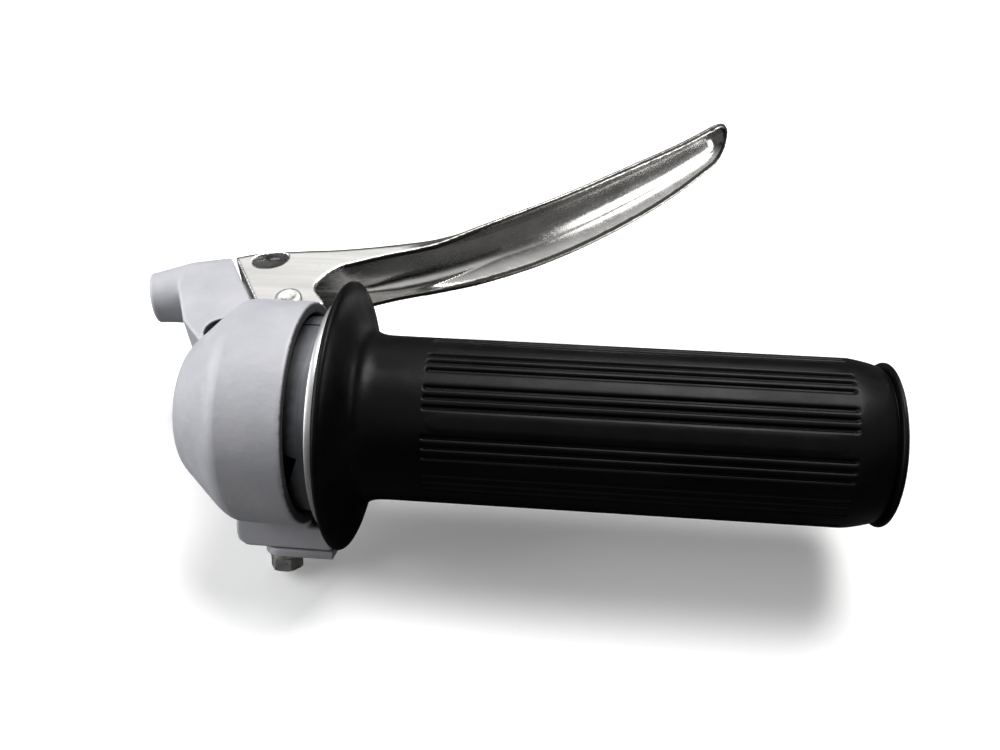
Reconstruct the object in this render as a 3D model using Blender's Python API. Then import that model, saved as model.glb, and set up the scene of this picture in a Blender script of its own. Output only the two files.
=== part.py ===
"""Moped throttle grip with its brake lever: a right-hand twist-grip control.

Frame: the origin is the middle of the grip's closed end face, on the handlebar
axis. +X runs outboard along the handlebar, +Y points forward, away from the
rider, and +Z is up.

Dimensions are in millimetres and become metres where a mesh is linked. Along X
they are measured from the plane of the housing's open end; the last step moves
the whole assembly inboard, so that its origin is at the grip's end.
"""

import math

import bmesh
import bpy
from mathutils import Vector

MM = 0.001
SEG = 64                  # default segments of a turned part

# ---------------------------------------------------------------- dimensions
# housing casting
BAR_D = 22.0
BORE_R = BAR_D / 2 + 0.15
DRUM_R = 22.6             # outside of the housing drum
CAVITY_R = 20.1           # inside of the housing drum
CAVITY_BACK_X = -15.2
COLLAR_END_X = -24.2      # inboard end of the casting
COLLAR_END_R = 12.9
BRACKET_HALF_Z = 7.2      # the bracket is flush with the lever's flanges
TONGUE_HALF_Z = 5.0       # the tongue that the lever straddles
TONGUE_R = 6.4            # round of the tongue about the pivot
CUT_HALF_Z = 12.0         # reach of the bracket's cuts above and below

# lug under the drum, tilted from straight down towards the rider;
# t is the distance from the handlebar axis, n the distance across the lug
LUG_TILT = math.radians(30)
LUG_HALF_W = 4.2
LUG_X0, LUG_X1 = -15.8, 4.6
LUG_ROOT_T = 12.0
LUG_BOTTOM_T = 28.4
LUG_OVERHANG_T = 23.5     # underside of the part beyond the drum's open end
LUG_STEP_X = -0.25
LUG_CORNER_R = 2.8
THROTTLE_CABLE_T = 22.3

# slider cover and its screw
COVER_TOP_T = LUG_BOTTOM_T + 0.3
COVER_BOTTOM_T = 30.4
SCREW_X = -6.4
SCREW_HOLE_R = 2.3
SCREW_R = 1.95
SCREW_TIP_T = 25.6
SCREW_AF = 6.0            # across flats
SCREW_HEAD = 2.7
SCREW_STEPS = 24
WASHER_T = COVER_BOTTOM_T + 0.3
WASHER_THICK = 0.8
HEAD_T = WASHER_T + WASHER_THICK + 0.15

# set screw that holds the casting to the handlebar, pointing forward and down
SET_X = -20.0
SET_ANGLE = math.radians(-50)
SET_BOSS_R = 4.1
SET_BOSS_TOP = 20.5       # distances along the screw are from the handlebar axis
SET_HOLE_R = 2.8
SET_SOCKET_AF = 2.5
LOCKNUT_AF = 7.0

# throttle
DRUM_TUBE_R, DRUM_TUBE_IN_R = 19.6, 17.0
DRUM_MID_R = (DRUM_TUBE_R + DRUM_TUBE_IN_R) / 2
SLEEVE_R, SLEEVE_IN_R = 12.9, BORE_R + 0.1
SLEEVE_X0, SLEEVE_X1 = -13.6, 110.0
OVER_SLEEVE_R = SLEEVE_R + 0.3
RING_X0, RING_X1, RING_R = 4.4, 6.0, 22.8
RING_CHAMFER = 0.3

# slider, and the helical slot that moves it
TWIST = math.radians(75)
SLIDER_TRAVEL = 9.0
SLIDER_X, SLIDER_T = -9.8, 22.0      # slider centre with the throttle closed
SLIDER_HALF_X, SLIDER_HALF_T, SLIDER_HALF_N = 2.8, 1.7, 2.25
PEG_R, PEG_SEAT_R = 1.3, 1.55
SLOT_HALF_W = 2.0
SLOT_R0, SLOT_R1 = 15.6, 21.0
SLOT_MARGIN = math.radians(9)
SLOT_STEPS = 26

# rubber grip
GRIP_R, FLANGE_R = 16.5, 27.0
GRIP_X0, GRIP_X1 = 6.3, 113.6

# brake lever; points are (x, y) in plan
PIVOT = (-10.6, 26.4)
SHEET = 1.3               # lever sheet thickness
NIPPLE = (-18.2, 39.6)    # cable nipple hole in the lever
NIPPLE_RADII = (4.0, 2.95)
NIPPLE_TURN = math.radians(22)
NIPPLE_STEPS = 28
CABLE_ANGLE = math.radians(15)
BOSS_END = (-44.9, 32.7)  # middle of the cable boss's inboard end
BOSS_R, BOSS_LENGTH, BOSS_CHAMFER = 5.8, 14.0, 0.5
# gap between the bracket and the lever's inboard end
GAP_FRONT, GAP_REAR = Vector((-26.9, 39.2)), Vector((-18.2, 24.6))
LEVER_GAP = 0.9
LEVER_CUT_HALF_Z = 14.0


# ----------------------------------------------------------------- materials
def material(name, colour, roughness, metallic):
    made = bpy.data.materials.new(name)
    made.use_nodes = True
    shader = made.node_tree.nodes["Principled BSDF"]
    shader.inputs["Base Color"].default_value = (*colour, 1.0)
    shader.inputs["Roughness"].default_value = roughness
    shader.inputs["Metallic"].default_value = metallic
    return made


def make_materials():
    """Materials by short name."""
    return {
        "cast": material(
            "cast_silver_paint", colour=(0.57, 0.57, 0.60), roughness=0.42, metallic=0.25
        ),
        "steel": material("bright_steel", colour=(0.62, 0.62, 0.63), roughness=0.25, metallic=1.0),
        "zinc": material("zinc_fastener", colour=(0.66, 0.66, 0.62), roughness=0.35, metallic=1.0),
        "alloy": material("bare_alloy", colour=(0.70, 0.70, 0.72), roughness=0.38, metallic=0.9),
        "rubber": material(
            "black_rubber", colour=(0.012, 0.011, 0.013), roughness=0.48, metallic=0.0
        ),
        "brass": material("brass", colour=(0.72, 0.53, 0.24), roughness=0.35, metallic=1.0),
        "fibre": material("fibre_washer", colour=(0.28, 0.12, 0.08), roughness=0.7, metallic=0.0),
    }


# ------------------------------------------------------------ mesh and object
def add_object(name, mesh, mat=None, parent=None):
    """Links a mesh in millimetres, with its origin at its parent's.

    A piece without a material is a boolean helper, hidden in renders.
    """
    origin = parent.location if parent else Vector()
    for vertex in mesh.vertices:
        vertex.co = vertex.co * MM - origin
    obj = bpy.data.objects.new(name, mesh)
    bpy.context.scene.collection.objects.link(obj)
    obj.parent = parent
    if mat:
        mesh.materials.append(MATERIALS[mat])
        mesh.shade_smooth()
        mesh.set_sharp_from_angle(angle=math.radians(32))
    else:
        obj.hide_render = True
        obj.display_type = "WIRE"
    return obj


def to_mesh(bm, name):
    mesh = bpy.data.meshes.new(name)
    bm.to_mesh(mesh)
    bm.free()
    return mesh


def closed_mesh(bm, name):
    bmesh.ops.remove_doubles(bm, verts=bm.verts, dist=1e-5)
    bmesh.ops.recalc_face_normals(bm, faces=bm.faces)
    return to_mesh(bm, name)


def join_loops(bm, first, second):
    """A band of quads between two closed loops."""
    count = len(first)
    for k in range(count):
        j = (k + 1) % count
        bm.faces.new([first[k], first[j], second[j], second[k]])


def spun(name, profile, mat=None, segments=SEG, place=None, parent=None):
    """A closed (x, r) profile turned about the X axis, then moved by place.

    Points with r = 0 meet the axis.
    """
    bm = bmesh.new()
    rings = []
    for x, r in profile:
        if r == 0:
            rings.append([bm.verts.new((x, 0, 0))])
            continue
        angles = [2 * math.pi * k / segments for k in range(segments)]
        rings.append([bm.verts.new((x, r * math.cos(a), r * math.sin(a))) for a in angles])
    for first, second in zip(rings, rings[1:] + rings[:1]):
        if len(first) == 1 and len(second) == 1:
            continue
        for k in range(segments):
            j = (k + 1) % segments
            corners = [
                first[k % len(first)],
                first[j % len(first)],
                second[j % len(second)],
                second[k % len(second)],
            ]
            # a point on the axis turns the quad into a triangle
            bm.faces.new(list(dict.fromkeys(corners)))
    if place:
        for vertex in bm.verts:
            vertex.co = place(vertex.co)
    return add_object(name, closed_mesh(bm, name), mat, parent)


def in_plan(u, v, w):
    return (u, v, w)


def prism(name, outline, low, high, mat=None, place=in_plan, parent=None):
    """A closed outline (u, v) extruded from w = low to w = high."""
    bm = bmesh.new()
    ends = [[bm.verts.new(place(u, v, w)) for u, v in outline] for w in (low, high)]
    bm.faces.new(ends[0])
    bm.faces.new(ends[1])
    join_loops(bm, *ends)
    return add_object(name, closed_mesh(bm, name), mat, parent)


def boolean(obj, tools, operation="DIFFERENCE", solver="EXACT"):
    for tool in tools:
        modifier = obj.modifiers.new(tool.name, "BOOLEAN")
        modifier.operation = operation
        modifier.solver = solver
        modifier.object = tool


# ------------------------------------------------------ profiles and outlines
def rod(low, high, radius):
    return [(low, 0), (low, radius), (high, radius), (high, 0)]


def tube(low, high, inner, outer):
    return [(low, inner), (high, inner), (high, outer), (low, outer)]


def rectangle(u0, u1, v0, v1):
    return [(u0, v0), (u0, v1), (u1, v1), (u1, v0)]


def arc(centre_u, centre_v, radius, start, end, steps):
    """Points from start to end, in degrees."""
    angles = [math.radians(start + (end - start) * k / steps) for k in range(steps + 1)]
    return [(centre_u + radius * math.cos(a), centre_v + radius * math.sin(a)) for a in angles]


def hexagon(across_flats):
    corner = across_flats / math.sqrt(3)
    angles = [math.radians(60 * k) for k in range(6)]
    return [(corner * math.cos(a), corner * math.sin(a)) for a in angles]


# -------------------------------------------------------------------- placing
LUG_OUT = Vector((0, -math.sin(LUG_TILT), -math.cos(LUG_TILT)))
LUG_SIDE = Vector((0, -math.cos(LUG_TILT), math.sin(LUG_TILT)))   # across, to the rider
GAP_ALONG = (GAP_REAR - GAP_FRONT).normalized()
GAP_ACROSS = Vector((-GAP_ALONG.y, GAP_ALONG.x))                  # towards the lever


def in_lug(x, t, n):
    return Vector((x, 0, 0)) + LUG_OUT * t + LUG_SIDE * n


def across_lug(x, n, t):
    """For a prism that is extruded away from the handlebar axis."""
    return in_lug(x, t, n)


def on_throttle_cable(co):
    return co + in_lug(0, THROTTLE_CABLE_T, 0)


def along(origin, direction):
    """Turns a mesh's X axis onto a direction from an origin."""
    turn = Vector((1, 0, 0)).rotation_difference(Vector(direction).normalized())
    start = Vector(origin)
    return lambda co: turn @ co + start


on_cover_screw = along((SCREW_X, 0, 0), LUG_OUT)
on_peg = along((SLIDER_X, 0, 0), LUG_OUT)
on_set_screw = along((SET_X, 0, 0), (0, math.cos(SET_ANGLE), math.sin(SET_ANGLE)))
on_pivot = along((*PIVOT, 0), (0, 0, 1))
# from the boss's inboard end, outboard and forward
on_brake_cable = along((*BOSS_END, 0), (math.cos(CABLE_ANGLE), math.sin(CABLE_ANGLE), 0))


def round_set_screw(u, v, w):
    """For a prism that is extruded along the set screw."""
    return on_set_screw(Vector((w, u, v)))


# -------------------------------------------------------------------- housing
def housing_body():
    profile = [
        (COLLAR_END_X, 0),
        (COLLAR_END_X, COLLAR_END_R - 0.5),
        (COLLAR_END_X + 0.5, COLLAR_END_R + 0.3),
        (COLLAR_END_X + 1.2, 14.0),
        (-15.2, 21.0), (-13.9, 21.95), (-12.6, 22.45), (-11.2, DRUM_R),
        (0, DRUM_R), (0, 0),
    ]
    return spun("housing_body", profile, "cast")


def bracket_block():
    outline = [
        GAP_FRONT,
        GAP_REAR + 3.0 * GAP_ALONG,
        (-16.6, 14.0), (-17.5, 11.8), (-22.6, 11.8), (-26.4, 12.4),
        (-31.8, 18.4), (-36.8, 29.6), (-36.9, 36.6),
    ]
    return prism("bracket_block", outline, -BRACKET_HALF_Z, BRACKET_HALF_Z)


def cable_boss():
    profile = [
        (0, 0), (0, BOSS_R - BOSS_CHAMFER), (BOSS_CHAMFER, BOSS_R),
        (BOSS_LENGTH, BOSS_R), (BOSS_LENGTH, 0),
    ]
    return spun("cable_boss", profile, segments=32, place=on_brake_cable)


def bracket_front_round():
    profile = [(8.6, 0), (8.6, 6.3), (9.5, 6.95), (19.6, 6.95), (19.6, 0)]
    return spun("bracket_front_round", profile, segments=32, place=on_brake_cable)


def lever_tongue():
    outline = [(-24.8, 34.6), (-19.0, 18.0), (-16.0, 14.0), (-2.0, 16.0), (-4.6, 23.6)]
    outline += arc(*PIVOT, TONGUE_R, -20, 100, 8)
    outline += [(-17.5, 33.6)]
    return prism("lever_tongue", outline, -TONGUE_HALF_Z, TONGUE_HALF_Z)


def slider_lug():
    corner = (LUG_X0 + LUG_CORNER_R, LUG_BOTTOM_T - LUG_CORNER_R)
    outline = [
        (LUG_X0, LUG_ROOT_T),
        *arc(*corner, LUG_CORNER_R, 180, 90, 5),
        (LUG_X1, LUG_BOTTOM_T),
        (LUG_X1, LUG_OVERHANG_T),
        (LUG_STEP_X, LUG_OVERHANG_T),
        (LUG_STEP_X, LUG_ROOT_T),
    ]
    return prism("slider_lug", outline, -LUG_HALF_W, LUG_HALF_W, place=in_lug)


def set_screw_boss():
    profile = [
        (11.8, 0), (11.8, SET_BOSS_R),
        (SET_BOSS_TOP - 0.4, SET_BOSS_R), (SET_BOSS_TOP, SET_BOSS_R - 0.3), (SET_BOSS_TOP, 0),
    ]
    return spun("set_screw_boss", profile, segments=32, place=on_set_screw)


def lever_space_cuts():
    """Room for the lever's flanges on both sides of the tongue, and for its web in front."""
    front = GAP_FRONT - 6 * GAP_ALONG
    side = [
        front, GAP_REAR + 1.2 * GAP_ALONG,
        (-12.0, 23.35), (6.0, 23.35), (6.0, 60.0), (-34.0, 60.0),
    ]
    mouth = [front, GAP_FRONT + 4.4 * GAP_ALONG, (-16.0, 34.2), (-8.0, 60.0), (-34.0, 60.0)]
    return [
        prism("lever_side_cut", side, TONGUE_HALF_Z, CUT_HALF_Z),
        prism("lever_side_cut_low", side, -CUT_HALF_Z, -TONGUE_HALF_Z),
        prism("cable_mouth_cut", mouth, -CUT_HALF_Z, CUT_HALF_Z),
    ]


def drum_cuts():
    """The drum's cavity, the handlebar bore and the stepped channel in the lug."""
    channel = [
        (-13.2, 15.5), (-13.2, 24.0), (-3.3, 24.0), (-3.3, 30.0), (3.2, 30.0), (3.2, 15.5),
    ]
    return [
        spun("cavity_cut", rod(CAVITY_BACK_X, 4.0, CAVITY_R)),
        spun("handlebar_bore_cut", rod(-30, -10, BORE_R)),
        prism("slider_channel_cut", channel, -2.6, 2.6, place=in_lug),
    ]


def hole_cuts():
    throttle_cable = [(-18, 0), (-18, 2.75), (-14.2, 2.75), (-14.2, 1.5), (-12.0, 1.5), (-12.0, 0)]
    brake_cable = [(-3, 0), (-3, 3.2), (6.5, 3.2), (6.5, 1.6), (30, 1.6), (30, 0)]
    core = along((-22.4, 15.6, 0), (0, 0, 1))
    # name, (distance along, radius) profile, segments, line it is turned about
    holes = [
        ("throttle_cable_cut", throttle_cable, 24, on_throttle_cable),
        ("cover_screw_cut", rod(25.2, 30.0, SCREW_HOLE_R), 24, on_cover_screw),
        ("pivot_bore_cut", rod(-8, 8, 3.75), 32, on_pivot),
        ("brake_cable_cut", brake_cable, 24, on_brake_cable),
        ("bracket_core_cut", rod(1.2, 9.0, 3.6), 32, core),
        ("set_screw_cut", rod(8.0, SET_BOSS_TOP + 2, SET_HOLE_R), 24, on_set_screw),
    ]
    return [
        spun(name, profile, segments=segments, place=place)
        for name, profile, segments, place in holes
    ]


def housing():
    body = housing_body()
    added = [
        bracket_block(),
        bracket_front_round(),
        cable_boss(),
        lever_tongue(),
        slider_lug(),
        set_screw_boss(),
    ]
    boolean(body, added, "UNION", "MANIFOLD")
    boolean(body, lever_space_cuts() + drum_cuts() + hole_cuts(), solver="MANIFOLD")


# ---------------------------------------------------- pieces fixed to housing
def slider_cover():
    outline = arc(SCREW_X, 0, LUG_HALF_W, 90, 270, 12)
    outline += [(LUG_X1, -LUG_HALF_W), (LUG_X1, LUG_HALF_W)]
    cover = prism("slider_cover", outline, COVER_TOP_T, COVER_BOTTOM_T, "cast", across_lug)
    hole = rod(26, 33, SCREW_HOLE_R)
    boolean(cover, [spun("cover_clearance_cut", hole, segments=24, place=on_cover_screw)])


def cover_spring_washer():
    profile = tube(WASHER_T, WASHER_T + WASHER_THICK, 2.4, 3.4)
    spun("cover_spring_washer", profile, "zinc", 32, on_cover_screw)


def cover_screw():
    """A hexagon head with a plain shank."""
    bm = bmesh.new()

    def loop(points, t):
        return [bm.verts.new(in_lug(SCREW_X + u, t, v)) for u, v in points]

    angles = [2 * math.pi * k / SCREW_STEPS for k in range(SCREW_STEPS)]
    shank = [(SCREW_R * math.cos(a), SCREW_R * math.sin(a)) for a in angles]
    head_outer = loop(hexagon(SCREW_AF), HEAD_T + SCREW_HEAD)
    head_seat = loop(hexagon(SCREW_AF), HEAD_T)
    shank_root = loop(shank, HEAD_T)
    shank_tip = loop(shank, SCREW_TIP_T)
    bm.faces.new(head_outer)
    join_loops(bm, head_outer, head_seat)
    bm.faces.new(shank_tip)
    join_loops(bm, shank_root, shank_tip)
    # the seat of the head, between the hexagon and the shank
    per_side = SCREW_STEPS // 6
    for k in range(6):
        inner = [shank_root[(per_side * k + m) % SCREW_STEPS] for m in range(per_side + 1)]
        bm.faces.new([head_seat[k], head_seat[(k + 1) % 6]] + inner[::-1])
    add_object("cover_screw", closed_mesh(bm, "cover_screw"), "zinc")


def throttle_cable_stop():
    spun("throttle_cable_stop", tube(-15.9, -14.5, 1.3, 2.4), "brass", 24, on_throttle_cable)


def drum_thrust_washer():
    spun("drum_thrust_washer", tube(-14.9, -14.4, 13.6, 19.4), "fibre", 48)


def handlebar_set_screw():
    profile = [(11.5, 0), (11.5, 1.9), (12.1, 2.5), (24.2, 2.5), (24.6, 2.1), (24.6, 0)]
    screw = spun("handlebar_set_screw", profile, "zinc", 24, on_set_screw)
    hexagonal = hexagon(SET_SOCKET_AF)
    socket = prism("set_screw_socket_cut", hexagonal, 21.8, 26.0, place=round_set_screw)
    boolean(screw, [socket])


def set_screw_locknut():
    low, high = SET_BOSS_TOP + 0.3, SET_BOSS_TOP + 2.7
    nut = prism("set_screw_locknut", hexagon(LOCKNUT_AF), low, high, "zinc", round_set_screw)
    hole = rod(19.0, 25.0, SET_HOLE_R)
    boolean(nut, [spun("locknut_cut", hole, segments=24, place=on_set_screw)])


def pivot_bush_and_shims():
    """A bush in the tongue, and a shim on each side of it."""
    half_length = TONGUE_HALF_Z + 0.1
    bush = tube(-half_length, half_length, 2.5, 3.4)
    spun("lever_pivot_bush", bush, "brass", 32, on_pivot)
    near = TONGUE_HALF_Z + 0.25
    thick = 0.4
    for name, low in (("upper_pivot_shim", near), ("lower_pivot_shim", -near - thick)):
        spun(name, tube(low, low + thick, 2.6, 4.1), "zinc", 32, on_pivot)


# ------------------------------------------------------------- twisting parts
def throttle_sleeve(axis):
    profile = tube(SLEEVE_X0, SLEEVE_X1, SLEEVE_IN_R, SLEEVE_R)
    spun("throttle_sleeve", profile, "steel", parent=axis)


def helical_slot_cut():
    """The path that the slider's peg takes in the drum as the drum turns past it."""
    bm = bmesh.new()
    rows = []
    start = math.atan2(LUG_OUT.z, LUG_OUT.y)
    travel_per_rad = SLIDER_TRAVEL / TWIST
    # on the drum's unrolled middle surface: along X, and along the circumference
    path = Vector((travel_per_rad, -DRUM_MID_R)).normalized()
    side = Vector((-path.y, path.x)) * SLOT_HALF_W
    for k in range(SLOT_STEPS + 1):
        twist = -SLOT_MARGIN + (TWIST + 2 * SLOT_MARGIN) * k / SLOT_STEPS
        row = []
        for across, r in ((-1, SLOT_R0), (1, SLOT_R0), (1, SLOT_R1), (-1, SLOT_R1)):
            x = SLIDER_X + travel_per_rad * twist + side.x * across
            angle = start - twist + side.y * across / DRUM_MID_R
            row.append(bm.verts.new((x, r * math.cos(angle), r * math.sin(angle))))
        rows.append(row)
    bm.faces.new(rows[0])
    bm.faces.new(rows[-1])
    for first, second in zip(rows, rows[1:]):
        join_loops(bm, first, second)
    return add_object("helical_slot_cut", closed_mesh(bm, "helical_slot_cut"))


def throttle_drum(axis):
    end_x = RING_X0 - 0.3
    profile = [
        (-14.0, DRUM_TUBE_IN_R), (-14.0, DRUM_TUBE_R),
        (end_x, DRUM_TUBE_R), (end_x, OVER_SLEEVE_R),
        (-4.0, OVER_SLEEVE_R), (-4.0, 14.6),
        (1.2, 14.6), (1.2, DRUM_TUBE_IN_R),
    ]
    drum = spun("throttle_drum", profile, "alloy", 72, parent=axis)
    boolean(drum, [helical_slot_cut()])


def thrust_ring(axis):
    profile = [
        (RING_X0, OVER_SLEEVE_R),
        (RING_X1, OVER_SLEEVE_R),
        (RING_X1, RING_R - RING_CHAMFER),
        (RING_X1 - RING_CHAMFER, RING_R),
        (RING_X0 + RING_CHAMFER, RING_R),
        (RING_X0, RING_R - RING_CHAMFER),
    ]
    spun("thrust_ring", profile, "alloy", parent=axis)


def rubber_grip(axis):
    bore_end_x = SLEEVE_X1 + 0.4
    profile = [
        # flange
        (GRIP_X0, OVER_SLEEVE_R), (GRIP_X0, 21.5), (6.6, 25.9), (6.9, 26.7), (7.4, FLANGE_R),
        (8.0, 26.8), (8.6, 25.9), (9.3, 24.0), (9.9, 22.0), (10.6, 20.0), (11.6, 18.2),
        (12.8, 17.0),
        # handle
        (15.5, GRIP_R), (24.5, GRIP_R), (103.5, GRIP_R),
        # groove and closed end
        (106.0, 16.0), (107.2, 15.4), (107.8, 14.9), (108.4, 15.7), (109.3, 16.1),
        (110.8, 15.9), (112.2, 14.9), (113.2, 13.0), (GRIP_X1, 10.5), (GRIP_X1, 0),
        # bore
        (bore_end_x, 0), (bore_end_x, OVER_SLEEVE_R),
    ]
    spun("rubber_grip", profile, "rubber", 56, parent=axis)


# --------------------------------------------------------------------- slider
def cable_slider(axis):
    block = rectangle(
        SLIDER_X - SLIDER_HALF_X, SLIDER_X + SLIDER_HALF_X,
        SLIDER_T - SLIDER_HALF_T, SLIDER_T + SLIDER_HALF_T,
    )
    slider = prism("cable_slider", block, -SLIDER_HALF_N, SLIDER_HALF_N, "brass", in_lug, axis)
    peg_seat = spun("slider_peg_cut", rod(18, 22.3, PEG_SEAT_R), segments=24, place=on_peg)
    groove = rectangle(-13.5, -7.8, THROTTLE_CABLE_T - 0.4, THROTTLE_CABLE_T + 0.4)
    nipple_seat = prism("slider_nipple_cut", groove, 0.9, 4.0, place=in_lug)
    boolean(slider, [peg_seat, nipple_seat])


def slider_peg(axis):
    profile = [(17.5, 0), (17.5, PEG_R - 0.3), (17.8, PEG_R), (22.0, PEG_R), (22.0, 0)]
    spun("slider_peg", profile, "steel", 24, on_peg, axis)


# ---------------------------------------------------------------- brake lever
PLATE_X0, PLATE_X1 = -33.0, 9.4      # stations of the flat-webbed inboard part
BLADE_X0, BLADE_X1 = 12.0, 87.0      # stations of the blade, up to the rounded tip
PLATE_STATIONS, BLADE_STATIONS, TIP_STATIONS = 12, 16, 5
FLANGE_STEPS, ROUND_STEPS, WEB_STEPS = 3, 4, 2
PLATE_HALF_HEIGHT = 7.2
TIP_R, TIP_DEPTH = 6.9, 4.2

# (x, y) of the blade's open edge in plan
RIM = [
    (-1.7, 38.6), (8.0, 43.2), (19.0, 47.7), (28.4, 53.2), (47.0, 66.0),
    (67.0, 83.5), (78.0, 94.7), (BLADE_X1, 105.4), (92.0, 111.4),
]
# (x, half height in Z)
HALF_HEIGHT = [
    (-40, 7.2), (12, 7.2), (19, 7.5), (28.4, 8.7), (47, 9.6),
    (67, 9.2), (78, 8.1), (BLADE_X1, TIP_R), (95, TIP_R),
]
# (x, depth of the blade's trough)
DEPTH = [
    (-1.7, 8.0), (10, 6.0), (19, 5.7), (47, 5.6),
    (67, 5.4), (78, 4.9), (BLADE_X1, TIP_DEPTH), (95, 4.0),
]
# (x, y) of the inboard part's web in plan
WEB = [(-34, 40.2), (-27.5, 41.3), (-12.0, 44.2), (-0.6, 46.2), (10.0, 50.2)]


def smooth(low, high, x):
    """Eases from 0 at low to 1 at high."""
    t = min(1.0, max(0.0, (x - low) / (high - low)))
    return t * t * (3 - 2 * t)


def through(points, x):
    """The y at x of a smooth cubic curve through (x, y) points."""
    slopes = [(y1 - y0) / (x1 - x0) for (x0, y0), (x1, y1) in zip(points, points[1:])]
    middle = [(before + after) / 2 for before, after in zip(slopes, slopes[1:])]
    tangents = [slopes[0], *middle, slopes[-1]]
    i = 0
    while i < len(points) - 2 and x > points[i + 1][0]:
        i += 1
    (x0, y0), (x1, y1) = points[i], points[i + 1]
    width = x1 - x0
    t = (x - x0) / width
    return (
        (2 * t**3 - 3 * t**2 + 1) * y0
        + (t**3 - 2 * t**2 + t) * width * tangents[i]
        + (-2 * t**3 + 3 * t**2) * y1
        + (t**3 - t**2) * width * tangents[i + 1]
    )


def slope_between(points, low, high):
    return (through(points, high) - through(points, low)) / (high - low)


def to_grip(slope):
    """Square to a curve of this slope in plan, on the grip's side."""
    return Vector((slope, -1, 0)).normalized()


def lever_section(depth, half_height, round_u, round_w, dish):
    """Section as (u, w): u runs from the web towards the grip, w is height.

    It goes from a channel with a flat web (dish = 0) to an arc of a circle (dish = 1).
    """
    half = []
    for k in range(FLANGE_STEPS):
        half.append((depth + (round_u - depth) * k / FLANGE_STEPS, half_height))
    for k in range(ROUND_STEPS):
        a = math.radians(90 * k / ROUND_STEPS)
        w = half_height - round_w + round_w * math.cos(a)
        half.append((round_u - round_u * math.sin(a), w))
    for k in range(WEB_STEPS):
        half.append((0.0, (half_height - round_w) * (1 - k / WEB_STEPS)))
    radius = (half_height**2 + depth**2) / (2 * depth)
    sweep = 2 * math.atan2(depth, half_height)
    for k, (u, w) in enumerate(half):
        a = sweep * (1 - k / len(half))
        half[k] = (
            u + (radius * (1 - math.cos(a)) - u) * dish,
            w + (radius * math.sin(a) - w) * dish,
        )
    return half + [(0.0, 0.0)] + [(u, -w) for u, w in reversed(half)]


def plate_stations():
    """(point on the web line, direction to the grip, section) along the inboard part."""
    for k in range(PLATE_STATIONS):
        x = PLATE_X0 + (PLATE_X1 - PLATE_X0) * k / PLATE_STATIONS
        direction = to_grip(slope_between(WEB, x - 0.2, x + 0.2))
        shallow = smooth(-4.0, 10.0, x)
        rounding = smooth(-2.0, 12.0, x)
        section = lever_section(
            depth=(1 - shallow) * 24.0 + shallow * 6.0,
            half_height=PLATE_HALF_HEIGHT,
            round_u=2.6 + rounding * 1.6,
            round_w=2.6 + rounding * 2.2,
            dish=0.0,
        )
        yield Vector((x, through(WEB, x), 0)), direction, section


def blade_stations():
    """The same along the blade."""
    for k in range(BLADE_STATIONS):
        x = BLADE_X0 + (BLADE_X1 - BLADE_X0) * k / BLADE_STATIONS
        direction = to_grip(slope_between(RIM, x - 0.2, x + 0.2))
        depth = through(DEPTH, x)
        half_height = through(HALF_HEIGHT, x)
        rounding = smooth(8.0, 34.0, x)
        section = lever_section(
            depth=depth,
            half_height=half_height,
            round_u=depth * (0.70 + 0.2 * rounding),
            round_w=half_height * (0.62 + 0.30 * rounding),
            dish=0.9 * smooth(9.0, 36.0, x),
        )
        yield Vector((x, through(RIM, x), 0)) - direction * depth, direction, section


def tip_frame():
    """Start of the rounded tip, and the rim's slope and direction there."""
    slope = slope_between(RIM, BLADE_X1 - 0.4, BLADE_X1)
    start = Vector((BLADE_X1, through(RIM, BLADE_X1), 0))
    return start, slope, Vector((1, slope, 0)).normalized()


def tip_stations():
    """The same round the tip."""
    start, slope, tangent = tip_frame()
    direction = to_grip(slope)
    for k in range(TIP_STATIONS):
        a = math.radians(90 * k / TIP_STATIONS)
        depth = TIP_DEPTH * math.cos(a)
        half_height = TIP_R * math.cos(a)
        section = lever_section(
            depth=depth,
            half_height=half_height,
            round_u=depth * 0.9,
            round_w=half_height * 0.92,
            dish=0.9,
        )
        yield start + tangent * TIP_R * math.sin(a) - direction * depth, direction, section


def lever_sheet():
    """The lever's outer surface, before it is given its thickness."""
    bm = bmesh.new()
    rows = []
    for at, direction, section in (*plate_stations(), *blade_stations(), *tip_stations()):
        rows.append([bm.verts.new(at + direction * u + Vector((0, 0, w))) for u, w in section])
    for first, second in zip(rows, rows[1:]):
        for k in range(len(first) - 1):
            bm.faces.new([first[k], second[k], second[k + 1], first[k + 1]])
    start, _, tangent = tip_frame()
    tip = bm.verts.new(start + tangent * TIP_R)
    last = rows[-1]
    for k in range(len(last) - 1):
        bm.faces.new([last[k], tip, last[k + 1]])
    bm.normal_update()
    return to_mesh(bm, "brake_lever")


def plate_end_cut():
    """Trims the lever's inboard end parallel to the gap."""
    offset = GAP_ACROSS * LEVER_GAP
    outline = [
        GAP_FRONT - 12 * GAP_ALONG + offset,
        GAP_REAR + 9 * GAP_ALONG + offset,
        (-45.0, 10.0), (-45.0, 52.0),
    ]
    return prism("plate_end_cut", outline, -LEVER_CUT_HALF_Z, LEVER_CUT_HALF_Z)


def throat_cut():
    """Trims the flanges on the grip's side, round the pivot and out to the rim."""
    outline = [
        (-40.0, 5.0), (-40.0, 22.9), (-14.6, 22.9),
        *arc(*PIVOT, 4.5, 232, 300, 5),
        (-3.6, 24.8), (-2.4, 25.8), (-4.2, 28.0), (-5.8, 30.2), (-6.0, 32.3), (-4.5, 35.5),
        RIM[0],
        *[(x, through(RIM, x)) for x in (2.0, 6.0, 10.0, 14.0)],
        (18.0, 46.2), (22.0, 40.0), (22.0, 5.0),
    ]
    return prism("throat_cut", outline, -LEVER_CUT_HALF_Z, LEVER_CUT_HALF_Z)


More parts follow.
